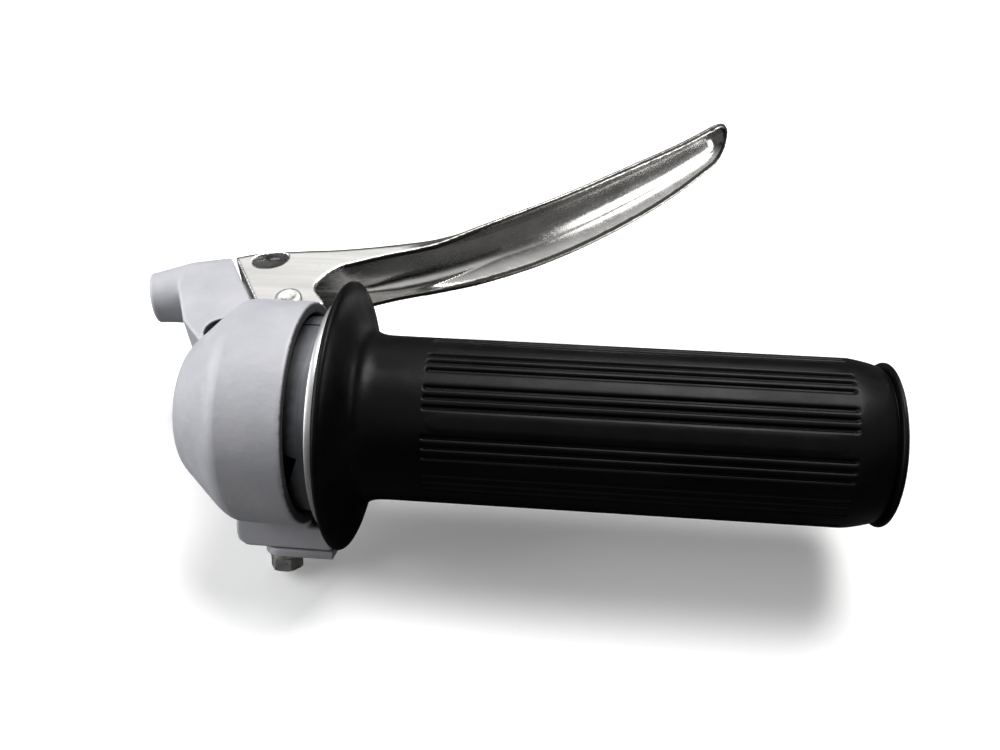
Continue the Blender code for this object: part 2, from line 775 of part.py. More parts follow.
def nipple_hole_cuts():
    """An oval hole through each flange."""
    cos, sin = math.cos(NIPPLE_TURN), math.sin(NIPPLE_TURN)
    outline = []
    for k in range(NIPPLE_STEPS):
        a = 2 * math.pi * k / NIPPLE_STEPS
        u = NIPPLE_RADII[0] * math.cos(a)
        v = NIPPLE_RADII[1] * math.sin(a)
        outline.append((NIPPLE[0] + u * cos - v * sin, NIPPLE[1] + u * sin + v * cos))
    near, far = 4.9, 12.0
    return [
        prism("nipple_hole_top_cut", outline, near, far),
        prism("nipple_hole_low_cut", outline, -far, -near),
    ]


def brake_lever(axis):
    lever = add_object("brake_lever", lever_sheet(), "steel", axis)
    solidify = lever.modifiers.new("sheet", "SOLIDIFY")
    solidify.thickness = SHEET * MM
    solidify.offset = -1.0
    solidify.use_even_offset = True
    solidify.use_quality_normals = True
    pivot_hole = spun("lever_pivot_cut", rod(-12, 12, 2.5), segments=32, place=on_pivot)
    boolean(lever, [plate_end_cut(), throat_cut(), *nipple_hole_cuts(), pivot_hole])


def lever_pivot_rivet(axis):
    profile = [
        (-9.3, 0), (-9.3, 2.6), (-8.7, 3.8), (-7.5, 4.2), (-7.5, 2.2),
        (7.5, 2.2), (7.5, 2.9), (7.9, 2.7), (8.1, 1.8), (8.1, 0),
    ]
    spun("lever_pivot_rivet", profile, "steel", 32, on_pivot, axis)


# ------------------------------------------------------------------- assembly
def joint(name, at):
    """An empty that a moving group hangs from."""
    obj = bpy.data.objects.new(name, None)
    obj.location = Vector(at) * MM
    bpy.context.scene.collection.objects.link(obj)
    return obj


def move_origin_to_grip_end():
    """Children follow their joints."""
    for obj in bpy.context.scene.objects:
        if obj.parent is None:
            obj.location.x -= GRIP_X1 * MM
    bpy.context.view_layer.update()


for old in list(bpy.data.objects):
    bpy.data.objects.remove(old, do_unlink=True)

MATERIALS = make_materials()
twist_axis = joint("twist_axis", (0, 0, 0))
slider_axis = joint("slider_axis", in_lug(SLIDER_X, SLIDER_T, 0))
lever_axis = joint("lever_axis", (*PIVOT, 0))

housing()
slider_cover()
cover_spring_washer()
cover_screw()
throttle_cable_stop()
drum_thrust_washer()
handlebar_set_screw()
set_screw_locknut()
pivot_bush_and_shims()

throttle_sleeve(twist_axis)
throttle_drum(twist_axis)
thrust_ring(twist_axis)
rubber_grip(twist_axis)

cable_slider(slider_axis)
slider_peg(slider_axis)

brake_lever(lever_axis)
lever_pivot_rivet(lever_axis)

move_origin_to_grip_end()
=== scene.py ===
import math

import bmesh
import bpy
import numpy as np
from mathutils import Matrix, Vector, noise


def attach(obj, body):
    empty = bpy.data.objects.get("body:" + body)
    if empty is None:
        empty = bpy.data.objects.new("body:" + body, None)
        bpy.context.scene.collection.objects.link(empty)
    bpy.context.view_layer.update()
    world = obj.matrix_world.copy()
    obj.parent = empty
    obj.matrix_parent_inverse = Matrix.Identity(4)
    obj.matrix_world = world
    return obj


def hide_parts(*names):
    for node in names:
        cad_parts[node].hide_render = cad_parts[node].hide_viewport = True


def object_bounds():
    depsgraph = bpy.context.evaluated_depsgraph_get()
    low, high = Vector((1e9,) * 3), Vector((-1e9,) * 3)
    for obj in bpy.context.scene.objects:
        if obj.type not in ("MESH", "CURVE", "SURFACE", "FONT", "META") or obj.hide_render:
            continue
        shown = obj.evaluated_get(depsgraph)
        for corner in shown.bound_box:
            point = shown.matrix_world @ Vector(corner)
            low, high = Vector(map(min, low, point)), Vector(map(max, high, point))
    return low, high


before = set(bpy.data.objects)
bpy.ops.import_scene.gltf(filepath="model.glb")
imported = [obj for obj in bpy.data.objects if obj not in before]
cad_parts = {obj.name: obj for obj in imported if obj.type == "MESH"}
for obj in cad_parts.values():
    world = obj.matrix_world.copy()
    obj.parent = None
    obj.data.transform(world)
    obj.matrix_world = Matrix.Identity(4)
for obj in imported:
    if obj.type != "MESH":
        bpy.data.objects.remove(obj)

cad_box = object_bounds()
MM = 0.001

# Sizes along X are measured from the housing's open end. The part's origin is the
# grip's end face, so a finished piece moves inboard by the grip's length.
# ------------------------------------------------------------------ sizes, mm
BORE_R, DRUM_R, CAVITY_R, CAVITY_BACK_X = 11.15, 22.6, 20.1, -15.2
COLLAR_END_X, COLLAR_END_R = -24.2, 12.9
BRACKET_HALF_Z, TONGUE_HALF_Z = 7.2, 5.0
LUG_TILT = math.radians(30)
LUG_HALF_W, LUG_X0, LUG_X1, LUG_BOTTOM, LUG_OVERHANG, COVER_BOTTOM = 4.2, -15.8, 4.6, 28.4, 23.5, 30.4
SCREW_X, SCREW_AF = -6.4, 6.0
SET_X, SET_BOSS_TOP = -20.0, 20.5
DRUM_TUBE_R, SLEEVE_R, SLEEVE_END_X = 19.6, 12.9, 110.0
TWIST_DEG, SLIDER_TRAVEL, SLIDER_X = 75.0, 9.0, -9.8
RING_X0, RING_X1, RING_R = 4.4, 6.0, 22.8
GRIP_R, FLANGE_R, GRIP_X0, GRIP_X1 = 16.5, 27.0, 6.3, 113.6
PIVOT = (-10.6, 26.4)
SHEET = 1.3
NIPPLE = (-18.2, 39.9)
CABLE_ANGLE = math.radians(15)
BOSS_END, BOSS_R = (-44.9, 32.7), 5.8
GAP_TOP, GAP_BOTTOM, LEVER_GAP = (-26.9, 39.2), (-18.2, 24.6), 0.9

DATUM = Matrix.Translation((-GRIP_X1 * MM, 0, 0))
LUG_OUT = Vector((0, -math.sin(LUG_TILT), -math.cos(LUG_TILT)))
LUG_SIDE = Vector((0, -math.cos(LUG_TILT), math.sin(LUG_TILT)))
SET_DIR = Vector((0, math.cos(math.radians(-50)), math.sin(math.radians(-50))))


# ------------------------------------------------------------------- geometry
def in_lug(x, t, n):
    return Vector((x, 0, 0)) + LUG_OUT * t + LUG_SIDE * n


def finish_mesh(bm, name):
    bmesh.ops.remove_doubles(bm, verts=bm.verts, dist=1e-5)
    bmesh.ops.recalc_face_normals(bm, faces=bm.faces)
    mesh = bpy.data.meshes.new(name)
    bm.to_mesh(mesh)
    bm.free()
    return mesh


def place(name, mesh):
    obj = bpy.data.objects.new(name, mesh)
    bpy.context.scene.collection.objects.link(obj)
    return obj


def spun(name, profile, segments=96, turn=None):
    """A closed (x, r) profile turned about the X axis, in mm."""
    bm = bmesh.new()
    rings = []
    for x, r in profile:
        if r < 1e-9:
            rings.append([bm.verts.new((x, 0, 0))])
            continue
        rings.append(
            [
                bm.verts.new((x, r * math.cos(2 * math.pi * k / segments), r * math.sin(2 * math.pi * k / segments)))
                for k in range(segments)
            ]
        )
    for a, b in zip(rings, rings[1:] + rings[:1]):
        if len(a) == 1 and len(b) == 1:
            continue
        for k in range(segments):
            j = (k + 1) % segments
            corners = []
            for corner in (a[k % len(a)], a[j % len(a)], b[j % len(b)], b[k % len(b)]):
                if corner not in corners:
                    corners.append(corner)
            if len(corners) > 2:
                bm.faces.new(corners)
    if turn:
        for vertex in bm.verts:
            vertex.co = turn(vertex.co)
    return place(name, finish_mesh(bm, name))


def prism(name, outline, low, high, put=lambda u, v, w: (u, v, w)):
    bm = bmesh.new()
    ends = [[bm.verts.new(put(u, v, w)) for u, v in outline] for w in (low, high)]
    bm.faces.new(ends[0])
    bm.faces.new(ends[1])
    count = len(outline)
    for k in range(count):
        j = (k + 1) % count
        bm.faces.new([ends[0][k], ends[0][j], ends[1][j], ends[1][k]])
    return place(name, finish_mesh(bm, name))


def arc(cx, cy, r, start, end, steps, ry=None):
    ry = r if ry is None else ry
    return [
        (
            cx + r * math.cos(math.radians(start + (end - start) * k / steps)),
            cy + ry * math.sin(math.radians(start + (end - start) * k / steps)),
        )
        for k in range(steps + 1)
    ]


def circle(cx, cy, r, steps, ry=None):
    return arc(cx, cy, r, 0, 360, steps, ry)[:-1]


def along(origin, direction):
    turn = Vector((1, 0, 0)).rotation_difference(Vector(direction).normalized())
    start = Vector(origin)
    return lambda co: turn @ co + start


def settle(obj):
    """Makes the modifiers' result the object's own mesh."""
    graph = bpy.context.evaluated_depsgraph_get()
    graph.update()
    made = bpy.data.meshes.new_from_object(obj.evaluated_get(graph))
    old = obj.data
    obj.modifiers.clear()
    obj.data = made
    bpy.data.meshes.remove(old)
    return obj


def join(obj, others, operation, solver="MANIFOLD"):
    for other in others:
        modifier = obj.modifiers.new(other.name, "BOOLEAN")
        modifier.operation = operation
        modifier.solver = solver
        modifier.object = other
    settle(obj)
    for other in others:
        bpy.data.objects.remove(other, do_unlink=True)
    return obj


def remesh(obj, voxel):
    """An even mesh that lies on the object's exact surface."""
    if max(obj.dimensions) > 200:
        raise ValueError(f"{obj.name} has spread to {tuple(obj.dimensions)} mm, so it can't be remeshed")
    target = place(obj.name + "_exact", obj.data.copy())
    modifier = obj.modifiers.new("even", "REMESH")
    modifier.mode = "VOXEL"
    modifier.voxel_size = voxel
    wrap = obj.modifiers.new("wrap", "SHRINKWRAP")
    wrap.wrap_method = "NEAREST_SURFACEPOINT"
    wrap.target = target
    settle(obj)
    bpy.data.objects.remove(target, do_unlink=True)
    return obj


def arrays(mesh):
    co = np.empty(len(mesh.vertices) * 3)
    mesh.vertices.foreach_get("co", co)
    edges = np.empty(len(mesh.edges) * 2, np.int64)
    mesh.edges.foreach_get("vertices", edges)
    return co.reshape(-1, 3), edges.reshape(-1, 2)


def mean_of_neighbours(values, edges, count):
    a, b = edges[:, 0], edges[:, 1]
    degree = np.maximum(np.bincount(edges.ravel(), minlength=count), 1)[:, None]
    total = np.stack(
        [
            np.bincount(a, values[b, k], minlength=count) + np.bincount(b, values[a, k], minlength=count)
            for k in range(values.shape[1])
        ],
        1,
    )
    return total / degree


def relax(obj, edge_rounds=6, all_rounds=1, hollow_rounds=0, angle=14.0, grow=2):
    """Rounds sharp edges by averaging near them. Inside corners can get a larger fillet."""
    mesh = obj.data
    co, edges = arrays(mesh)
    count = len(co)
    face_normals = np.empty(len(mesh.polygons) * 3)
    mesh.polygons.foreach_get("normal", face_normals)
    face_normals = face_normals.reshape(-1, 3)
    totals = np.empty(len(mesh.polygons), np.int64)
    mesh.polygons.foreach_get("loop_total", totals)
    loops = np.empty(len(mesh.loops), np.int64)
    mesh.loops.foreach_get("vertex_index", loops)
    owner = np.repeat(np.arange(len(totals)), totals)
    normals = np.stack([np.bincount(loops, face_normals[owner, k], minlength=count) for k in range(3)], 1)
    normals /= np.maximum(np.linalg.norm(normals, axis=1, keepdims=True), 1e-9)
    away = 1 - (face_normals[owner] * normals[loops]).sum(1)
    sharp = np.zeros(count)
    np.maximum.at(sharp, loops, away)
    near = (sharp > 1 - math.cos(math.radians(angle))).astype(float)[:, None]
    lean = ((mean_of_neighbours(co, edges, count) - co) * normals).sum(1)
    hollow = ((near[:, 0] > 0) & (lean > 0)).astype(float)[:, None]
    for _ in range(grow):
        near = np.maximum(near, (mean_of_neighbours(near, edges, count) > 0.01).astype(float))
    wide = hollow.copy()
    for _ in range(grow + hollow_rounds // 8):
        wide = np.maximum(wide, (mean_of_neighbours(wide, edges, count) > 0.01).astype(float))
    for _ in range(2):
        near = np.maximum(near * 0, mean_of_neighbours(near, edges, count) * 0.5 + near * 0.5)
        wide = mean_of_neighbours(wide, edges, count) * 0.5 + wide * 0.5
    for k in range(max(edge_rounds, hollow_rounds)):
        weight = near * (k < edge_rounds)
        if k < hollow_rounds:
            weight = np.maximum(weight, wide)
        co = co + 0.6 * weight * (mean_of_neighbours(co, edges, count) - co)
    for _ in range(all_rounds):
        co = co + 0.5 * (mean_of_neighbours(co, edges, count) - co)
        co = co - 0.52 * (mean_of_neighbours(co, edges, count) - co)
    mesh.vertices.foreach_set("co", co.ravel())
    mesh.update()
    return obj


def soften(obj, width, segments=3, angle=30.0):
    modifier = obj.modifiers.new("edges", "BEVEL")
    modifier.width = width
    modifier.segments = segments
    modifier.limit_method = "ANGLE"
    modifier.angle_limit = math.radians(angle)
    modifier.use_clamp_overlap = True
    return settle(obj)


def piece(obj, body, nodes, slot, *materials, angle=40.0):
    """Turns a finished mesh in mm into a piece of the object."""
    obj.data.transform(DATUM @ Matrix.Scale(MM, 4))
    obj.data.materials.clear()
    for made in materials:
        obj.data.materials.append(made)
    obj.data.shade_smooth()
    if angle:
        obj.data.set_sharp_from_angle(angle=math.radians(angle))
    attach(obj, body)
    if nodes:
        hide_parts(*nodes)
    return obj


def attribute(obj, name, values):
    made = obj.data.attributes.get(name) or obj.data.attributes.new(name, "FLOAT", "POINT")
    made.data.foreach_set("value", np.asarray(values, np.float32))


# ------------------------------------------------------------------ materials
class Graph:
    """Small helper that wires one material's nodes."""

    def __init__(self, name, colour, roughness, metallic, **inputs):
        self.material = bpy.data.materials.new(name)
        self.material.use_nodes = True
        self.tree = self.material.node_tree
        self.shader = self.tree.nodes["Principled BSDF"]
        self.set(self.shader, "Base Color", (*colour, 1))
        self.set(self.shader, "Roughness", roughness)
        self.set(self.shader, "Metallic", metallic)
        for key, value in inputs.items():
            self.set(self.shader, key.replace("_", " "), value)
        self.space = self.tree.nodes.new("ShaderNodeTexCoord").outputs["Object"]

    def set(self, node, name, value):
        socket = node.inputs[name]
        if isinstance(value, bpy.types.NodeSocket):
            self.tree.links.new(value, socket)
        else:
            socket.default_value = value

    def node(self, kind, **inputs):
        made = self.tree.nodes.new(kind)
        for key, value in inputs.items():
            self.set(made, key.replace("_", " "), value)
        return made

    def mapped(self, scale=(1, 1, 1), rotation=(0, 0, 0), location=(0, 0, 0)):
        made = self.node("ShaderNodeMapping", Vector=self.space, Scale=scale, Rotation=rotation, Location=location)
        return made.outputs[0]

    def noise(self, scale, detail=4.0, rough=0.55, vector=None, distortion=0.0):
        made = self.node("ShaderNodeTexNoise", Scale=scale, Detail=detail, Roughness=rough, Distortion=distortion)
        self.tree.links.new(self.space if vector is None else vector, made.inputs["Vector"])
        return made.outputs["Fac"]

    def ramp(self, fac, low, high, start=0.0, end=1.0):
        """Maps fac in low..high to start..end, clamped."""
        made = self.tree.nodes.new("ShaderNodeMapRange")
        made.clamp = True
        for name, value in (("Value", fac), ("From Min", low), ("From Max", high), ("To Min", start), ("To Max", end)):
            self.set(made, name, value)
        return made.outputs[0]

    def math(self, operation, a, b=0.0):
        made = self.tree.nodes.new("ShaderNodeMath")
        made.operation = operation
        made.use_clamp = False
        self.set(made, 0, a) if False else None
        for index, value in enumerate((a, b)):
            if isinstance(value, bpy.types.NodeSocket):
                self.tree.links.new(value, made.inputs[index])
            else:
                made.inputs[index].default_value = value
        return made.outputs[0]

    def mix(self, fac, a, b):
        made = self.tree.nodes.new("ShaderNodeMix")
        made.data_type = "RGBA"
        if isinstance(fac, bpy.types.NodeSocket):
            self.tree.links.new(fac, made.inputs[0])
        else:
            made.inputs[0].default_value = fac
        for index, value in ((6, a), (7, b)):
            if isinstance(value, bpy.types.NodeSocket):
                self.tree.links.new(value, made.inputs[index])
            else:
                made.inputs[index].default_value = (*value, 1)
        return made.outputs[2]

    def attribute(self, name):
        made = self.tree.nodes.new("ShaderNodeAttribute")
        made.attribute_name = name
        return made.outputs["Fac"]

    def bump(self, height, distance, strength=1.0, below=None):
        made = self.node("ShaderNodeBump", Height=height, Distance=distance, Strength=strength)
        if below is not None:
            self.tree.links.new(below, made.inputs["Normal"])
        self.tree.links.new(made.outputs[0], self.shader.inputs["Normal"])
        return made.outputs[0]

    def colour(self, value):
        self.set(self.shader, "Base Color", value)

    def roughness(self, value):
        self.set(self.shader, "Roughness", value)


def cast_paint():
    """Silver-grey paint over a die casting: fine metallic grain, soft lumps, faint stains, worn edges, and painted
    shade in the mouth, cavity and core hole.
    """
    g = Graph("cast_silver_paint", (0.60, 0.60, 0.64), 0.45, 0.10, Specular_IOR_Level=0.38)
    blotch = g.noise(95, 3, 0.6)
    grain = g.noise(5200, 2, 0.6)
    tone = g.mix(g.ramp(blotch, 0.35, 0.68), (0.355, 0.36, 0.385), (0.41, 0.41, 0.437))
    speck = g.noise(2100, 1.5, 0.5)
    tone = g.mix(g.ramp(speck, 0.64, 0.74, 0.0, 0.10), tone, (0.66, 0.66, 0.69))
    stain = g.noise(330, 5, 0.7)
    tone = g.mix(g.ramp(stain, 0.66, 0.78, 0.0, 0.30), tone, (0.36, 0.36, 0.39))
    worn = g.ramp(g.attribute("edge"), 0.25, 0.9, 0.0, 0.35)
    tone = g.mix(worn, tone, (0.72, 0.72, 0.74))
    # painted shade: near black on the mouth's rim, the cavity and the core hole
    tone = g.mix(g.attribute("inside"), tone, (0.045, 0.047, 0.053))
    g.colour(tone)
    g.roughness(g.ramp(g.noise(260, 4, 0.6), 0.3, 0.7, 0.46, 0.60))
    lumps = g.bump(g.noise(420, 3, 0.55), 0.00022, 0.55)
    g.bump(grain, 0.00003, 0.55, lumps)
    return g.material


def plated_steel():
    """Plated pressed steel: faint streaks along the pressing, fine scratches, dark sheared edges."""
    g = Graph("plated_steel", (0.70, 0.69, 0.67), 0.2, 1.0)
    turn = math.radians(-41)
    streak = g.noise(150, 4, 0.6, g.mapped((0.10, 1.6, 1.6), (0, 0, turn)))
    fine = g.noise(900, 3, 0.65, g.mapped((0.05, 1.5, 1.5), (0, 0, turn)))
    cloud = g.noise(140, 5, 0.65)
    tone = g.mix(g.ramp(streak, 0.30, 0.70), (0.60, 0.59, 0.57), (0.78, 0.775, 0.76))
    tone = g.mix(g.ramp(cloud, 0.60, 0.78, 0.0, 0.30), tone, (0.42, 0.40, 0.38))
    tone = g.mix(g.attribute("rim"), tone, (0.050, 0.045, 0.042))
    g.colour(tone)
    dull = g.ramp(g.noise(90, 4, 0.6), 0.35, 0.7, 0.20, 0.27)
    dull = g.math("ADD", dull, g.ramp(fine, 0.50, 0.72, 0.0, 0.08))
    dull = g.math("ADD", dull, g.math("MULTIPLY", g.attribute("rim"), 0.35))
    g.roughness(dull)
    waves = g.bump(g.noise(110, 2, 0.5, g.mapped((0.5, 1.2, 1.2), (0, 0, turn))), 0.00025, 0.25)
    g.bump(fine, 0.000012, 0.6, waves)
    return g.material


def turned_alloy(name, light, dark):
    """Bare die-cast alloy turned on a lathe: fine rings round the X axis and dull patches."""
    g = Graph(name, light, 0.36, 0.85)
    rings = g.noise(1500, 2, 0.6, g.mapped((1.4, 0.06, 0.06)))
    patch = g.noise(210, 4, 0.65)
    tone = g.mix(g.ramp(rings, 0.35, 0.65), dark, light)
    tone = g.mix(g.ramp(patch, 0.55, 0.75, 0.0, 0.5), tone, tuple(0.55 * c for c in dark))
    g.colour(tone)
    g.roughness(g.ramp(patch, 0.3, 0.7, 0.3, 0.5))
    g.bump(rings, 0.00003, 0.6)
    return g.material


def alloy_with_painted_shade():
    """The drum's tube: blue-grey alloy with its tone kept dark as painted shade, and painted near-black shade where it
    enters the housing.
    """
    g = Graph("alloy_with_painted_shade", (0.12, 0.125, 0.14), 0.4, 0.35)
    split = g.node("ShaderNodeSeparateXYZ")
    g.tree.links.new(g.space, split.inputs[0])
    wander = g.math("MULTIPLY", g.noise(260, 3, 0.6), 0.0016)
    along_x = g.math("ADD", split.outputs["X"], wander)
    # painted shade: 0 near the housing's mouth, where the tube turns near black, rising to 1 further out
    unshaded = g.ramp(along_x, -GRIP_X1 * MM + 0.0012, -GRIP_X1 * MM + 0.0048)
    rings = g.noise(1500, 2, 0.6, g.mapped((1.4, 0.06, 0.06)))
    bare = g.mix(g.ramp(rings, 0.35, 0.65), (0.15, 0.156, 0.175), (0.22, 0.226, 0.245))
    g.colour(g.mix(unshaded, (0.006, 0.006, 0.007), bare))
    g.roughness(g.ramp(g.noise(210, 4, 0.65), 0.3, 0.7, 0.36, 0.55))
    g.bump(rings, 0.00003, 0.6)
    return g.material


def zinc_plate():
    """Bright zinc on steel fasteners: cool and warm tints, dull patches, small dents."""
    g = Graph("zinc_plate", (0.62, 0.63, 0.60), 0.32, 1.0)
    patch = g.noise(420, 4, 0.6)
    tone = g.mix(g.ramp(patch, 0.3, 0.7), (0.62, 0.64, 0.62), (0.82, 0.81, 0.77))
    tone = g.mix(g.ramp(g.noise(900, 3, 0.6), 0.62, 0.76, 0.0, 0.6), tone, (0.24, 0.25, 0.24))
    g.colour(tone)
    g.roughness(g.ramp(g.noise(640, 3, 0.6), 0.3, 0.7, 0.22, 0.46))
    g.bump(g.noise(1500, 3, 0.6), 0.00005, 0.5)
    return g.material


def black_rubber():
    """Moulded black rubber: low sheen, fine grain, faint dust and mould marks."""
    g = Graph("black_rubber", (0.004, 0.0037, 0.0042), 0.42, 0.0, Specular_IOR_Level=0.085)
    smear = g.noise(85, 4, 0.6)
    dust = g.noise(1900, 2, 0.5)
    tone = g.mix(g.ramp(smear, 0.4, 0.7), (0.0016, 0.0014, 0.0017), (0.0042, 0.0038, 0.0044))
    tone = g.mix(g.ramp(dust, 0.72, 0.80, 0.0, 0.30), tone, (0.03, 0.03, 0.031))
    g.colour(tone)
    rough = g.ramp(g.noise(160, 4, 0.65, g.mapped((0.5, 1, 1))), 0.3, 0.72, 0.28, 0.44)
    g.roughness(rough)
    soft = g.bump(g.noise(260, 3, 0.5), 0.00018, 0.30)
    g.bump(g.noise(4200, 3, 0.6), 0.00003, 0.45, soft)
    return g.material


def machined_brass():
    g = Graph("machined_brass", (0.70, 0.50, 0.22), 0.33, 1.0)
    patch = g.noise(500, 4, 0.6)
    g.colour(g.mix(g.ramp(patch, 0.35, 0.7), (0.62, 0.43, 0.18), (0.78, 0.60, 0.30)))
    g.roughness(g.ramp(patch, 0.3, 0.7, 0.25, 0.45))
    g.bump(g.noise(1800, 2, 0.6, g.mapped((1.5, 0.3, 0.3))), 0.00003, 0.6)
    return g.material


def red_fibre():
    g = Graph("red_fibre", (0.26, 0.10, 0.07), 0.72, 0.0)
    fibres = g.noise(1600, 4, 0.7, g.mapped((0.4, 1, 1)))
    g.colour(g.mix(fibres, (0.18, 0.065, 0.045), (0.34, 0.15, 0.10)))
    g.roughness(g.ramp(fibres, 0.3, 0.7, 0.62, 0.82))
    g.bump(fibres, 0.00004, 0.7)
    return g.material


CAST = cast_paint()
STEEL = plated_steel()
ALLOY_LIGHT = turned_alloy("turned_alloy_light", (0.56, 0.57, 0.565), (0.46, 0.47, 0.465))
ALLOY_GREY = alloy_with_painted_shade()
ZINC = zinc_plate()
RUBBER = black_rubber()
BRASS = machined_brass()
FIBRE = red_fibre()


# -------------------------------------------------------------------- housing
gap_dir = Vector((GAP_BOTTOM[0] - GAP_TOP[0], GAP_BOTTOM[1] - GAP_TOP[1], 0)).normalized()
cable_dir = Vector((-math.cos(CABLE_ANGLE), -math.sin(CABLE_ANGLE), 0))


def build_housing():
    casting = spun(
        "housing_casting",
        [
            (COLLAR_END_X, 0),
            (COLLAR_END_X, COLLAR_END_R - 0.5),
            (COLLAR_END_X + 0.5, COLLAR_END_R + 0.3),
            (COLLAR_END_X + 1.2, 14.0),
            (-15.4, 20.9),
            (-14.3, 21.75),
            (-13.3, 22.3),
            (-12.3, DRUM_R),
            (0, DRUM_R),
            (0, 0),
        ],
        192,
    )
    bracket = prism(
        "bracket_block",
        [
            GAP_TOP,
            (GAP_BOTTOM[0] + 3.0 * gap_dir.x, GAP_BOTTOM[1] + 3.0 * gap_dir.y),
            (-16.6, 14.0),
            (-17.5, 11.8),
            (-22.6, 11.8),
            (-26.4, 12.4),
            (-31.8, 18.4),
            (-36.8, 29.6),
            (-36.9, 36.6),
        ],
        -BRACKET_HALF_Z,
        BRACKET_HALF_Z,
    )
    boss = spun(
        "cable_boss",
        [(0, 0), (0, BOSS_R - 0.5), (0.5, BOSS_R), (14.0, BOSS_R), (14.0, 0)],
        64,
        along((*BOSS_END, 0), -cable_dir),
    )
    front_round = spun(
        "bracket_front_round",
        [(1.2, 0), (1.2, 5.75), (5.0, 6.35), (9.0, 7.0), (10.5, 7.1), (19.6, 7.1), (19.6, 0)],
        64,
        along((*BOSS_END, 0), -cable_dir),
    )
    tongue = prism(
        "lever_tongue",
        [(-24.8, 34.6), (-19.0, 18.0), (-16.0, 14.0), (-2.0, 16.0), (-4.6, 23.6)]
        + arc(PIVOT[0], PIVOT[1], 6.4, -20, 100, 24)
        + [(-17.5, 33.6)],
        -TONGUE_HALF_Z,
        TONGUE_HALF_Z,
    )
    lug = prism(
        "slider_lug",
        [(LUG_X0, 12.0)]
        + arc(LUG_X0 + 2.8, LUG_BOTTOM - 2.8, 2.8, 180, 90, 12)
        + [(LUG_X1, LUG_BOTTOM), (LUG_X1, LUG_OVERHANG), (-0.25, LUG_OVERHANG), (-0.25, 12.0)],
        -LUG_HALF_W,
        LUG_HALF_W,
        in_lug,
    )
    set_boss = spun(
        "set_screw_boss",
        [(11.8, 0), (11.8, 4.1), (SET_BOSS_TOP - 0.4, 4.1), (SET_BOSS_TOP, 3.8), (SET_BOSS_TOP, 0)],
        64,
        along((SET_X, 0, 0), SET_DIR),
    )
    join(casting, [bracket, front_round, boss, tongue, lug, set_boss], "UNION")
    # as cast: soft outside edges, larger fillets where the shapes meet
    remesh(casting, 0.36)
    relax(casting, edge_rounds=4, all_rounds=1, hollow_rounds=9, grow=1)

    cutters = []
    for name, low, high in (("lever_side_cut", TONGUE_HALF_Z, 12.0), ("lever_side_cut_low", -12.0, -TONGUE_HALF_Z)):
        cutters.append(
            prism(
                name,
                [
                    (GAP_TOP[0] - 6 * gap_dir.x, GAP_TOP[1] - 6 * gap_dir.y),
                    (GAP_BOTTOM[0] + 1.2 * gap_dir.x, GAP_BOTTOM[1] + 1.2 * gap_dir.y),
                    (-12.0, 23.35),
                    (6.0, 23.35),
                    (6.0, 60.0),
                    (-34.0, 60.0),
                ],
                low,
                high,
            )
        )
    cutters.append(
        prism(
            "cable_mouth_cut",
            [
                (GAP_TOP[0] - 6 * gap_dir.x, GAP_TOP[1] - 6 * gap_dir.y),
                (GAP_TOP[0] + 4.4 * gap_dir.x, GAP_TOP[1] + 4.4 * gap_dir.y),
                (-16.0, 34.2),
                (-8.0, 60.0),
                (-34.0, 60.0),
            ],
            -12.0,
            12.0,
        )
    )
    cutters.append(
        spun("cavity_cut", [(CAVITY_BACK_X, 0), (CAVITY_BACK_X, CAVITY_R), (-0.35, CAVITY_R), (0.6, CAVITY_R + 0.95), (4.0, CAVITY_R + 0.95), (4.0, 0)], 192)
    )
    cutters.append(spun("handlebar_bore_cut", [(-30, 0), (-30, BORE_R + 0.5), (-24.2, BORE_R + 0.5), (-23.7, BORE_R), (-10, BORE_R), (-10, 0)], 128))
    cutters.append(
        prism(
            "slider_channel_cut",
            [(-13.2, 15.5), (-13.2, 24.0), (-3.3, 24.0), (-3.3, 30.0), (3.2, 30.0), (3.2, 15.5)],
            -2.6,
            2.6,
            in_lug,
        )
    )
    cutters.append(
        spun(
            "throttle_cable_cut",
            [(-18, 0), (-18, 2.75), (-14.2, 2.75), (-14.2, 1.5), (-12.0, 1.5), (-12.0, 0)],
            48,
            lambda co: co + in_lug(0, 22.3, 0),
        )
    )
    cutters.append(
        spun("cover_screw_cut", [(25.2, 0), (25.2, 2.3), (30.0, 2.3), (30.0, 0)], 48, along((SCREW_X, 0, 0), LUG_OUT))
    )
    cutters.append(
        spun("pivot_bore_cut", [(-8, 0), (-8, 3.75), (8, 3.75), (8, 0)], 64, along((*PIVOT, 0), (0, 0, 1)))
    )
    cutters.append(
        spun(
            "brake_cable_cut",
            [(-3, 0), (-3, 3.7), (0.0, 3.7), (0.5, 3.2), (6.5, 3.2), (6.5, 1.6), (30, 1.6), (30, 0)],
            48,
            along((*BOSS_END, 0), -cable_dir),
        )
    )
    cutters.append(
        spun("bracket_core_cut", [(1.2, 0), (1.2, 3.6), (9.0, 3.6), (9.0, 0)], 64, along((-22.4, 15.6, 0), (0, 0, 1)))
    )
    cutters.append(
        spun(
            "set_screw_cut",
            [(8.0, 0), (8.0, 2.8), (SET_BOSS_TOP + 2, 2.8), (SET_BOSS_TOP + 2, 0)],
            48,
            along((SET_X, 0, 0), SET_DIR),
        )
    )
    join(casting, cutters, "DIFFERENCE")
    remesh(casting, 0.27)
    relax(casting, edge_rounds=3, all_rounds=2, hollow_rounds=0, grow=1)
    return casting


def edge_wear(obj, gain=14.0):
    """How much each point stands out on an outside edge, from 0 to 1."""
    mesh = obj.data
    co, edges = arrays(mesh)
    count = len(co)
    normals = np.empty(count * 3)
    mesh.vertices.foreach_get("normal", normals)
    normals = normals.reshape(-1, 3)
    lean = ((co - mean_of_neighbours(co, edges, count)) * normals).sum(1)[:, None]
    for _ in range(3):
        lean = mean_of_neighbours(lean, edges, count)
    attribute(obj, "edge", np.clip(lean[:, 0] * gain, 0, 1))


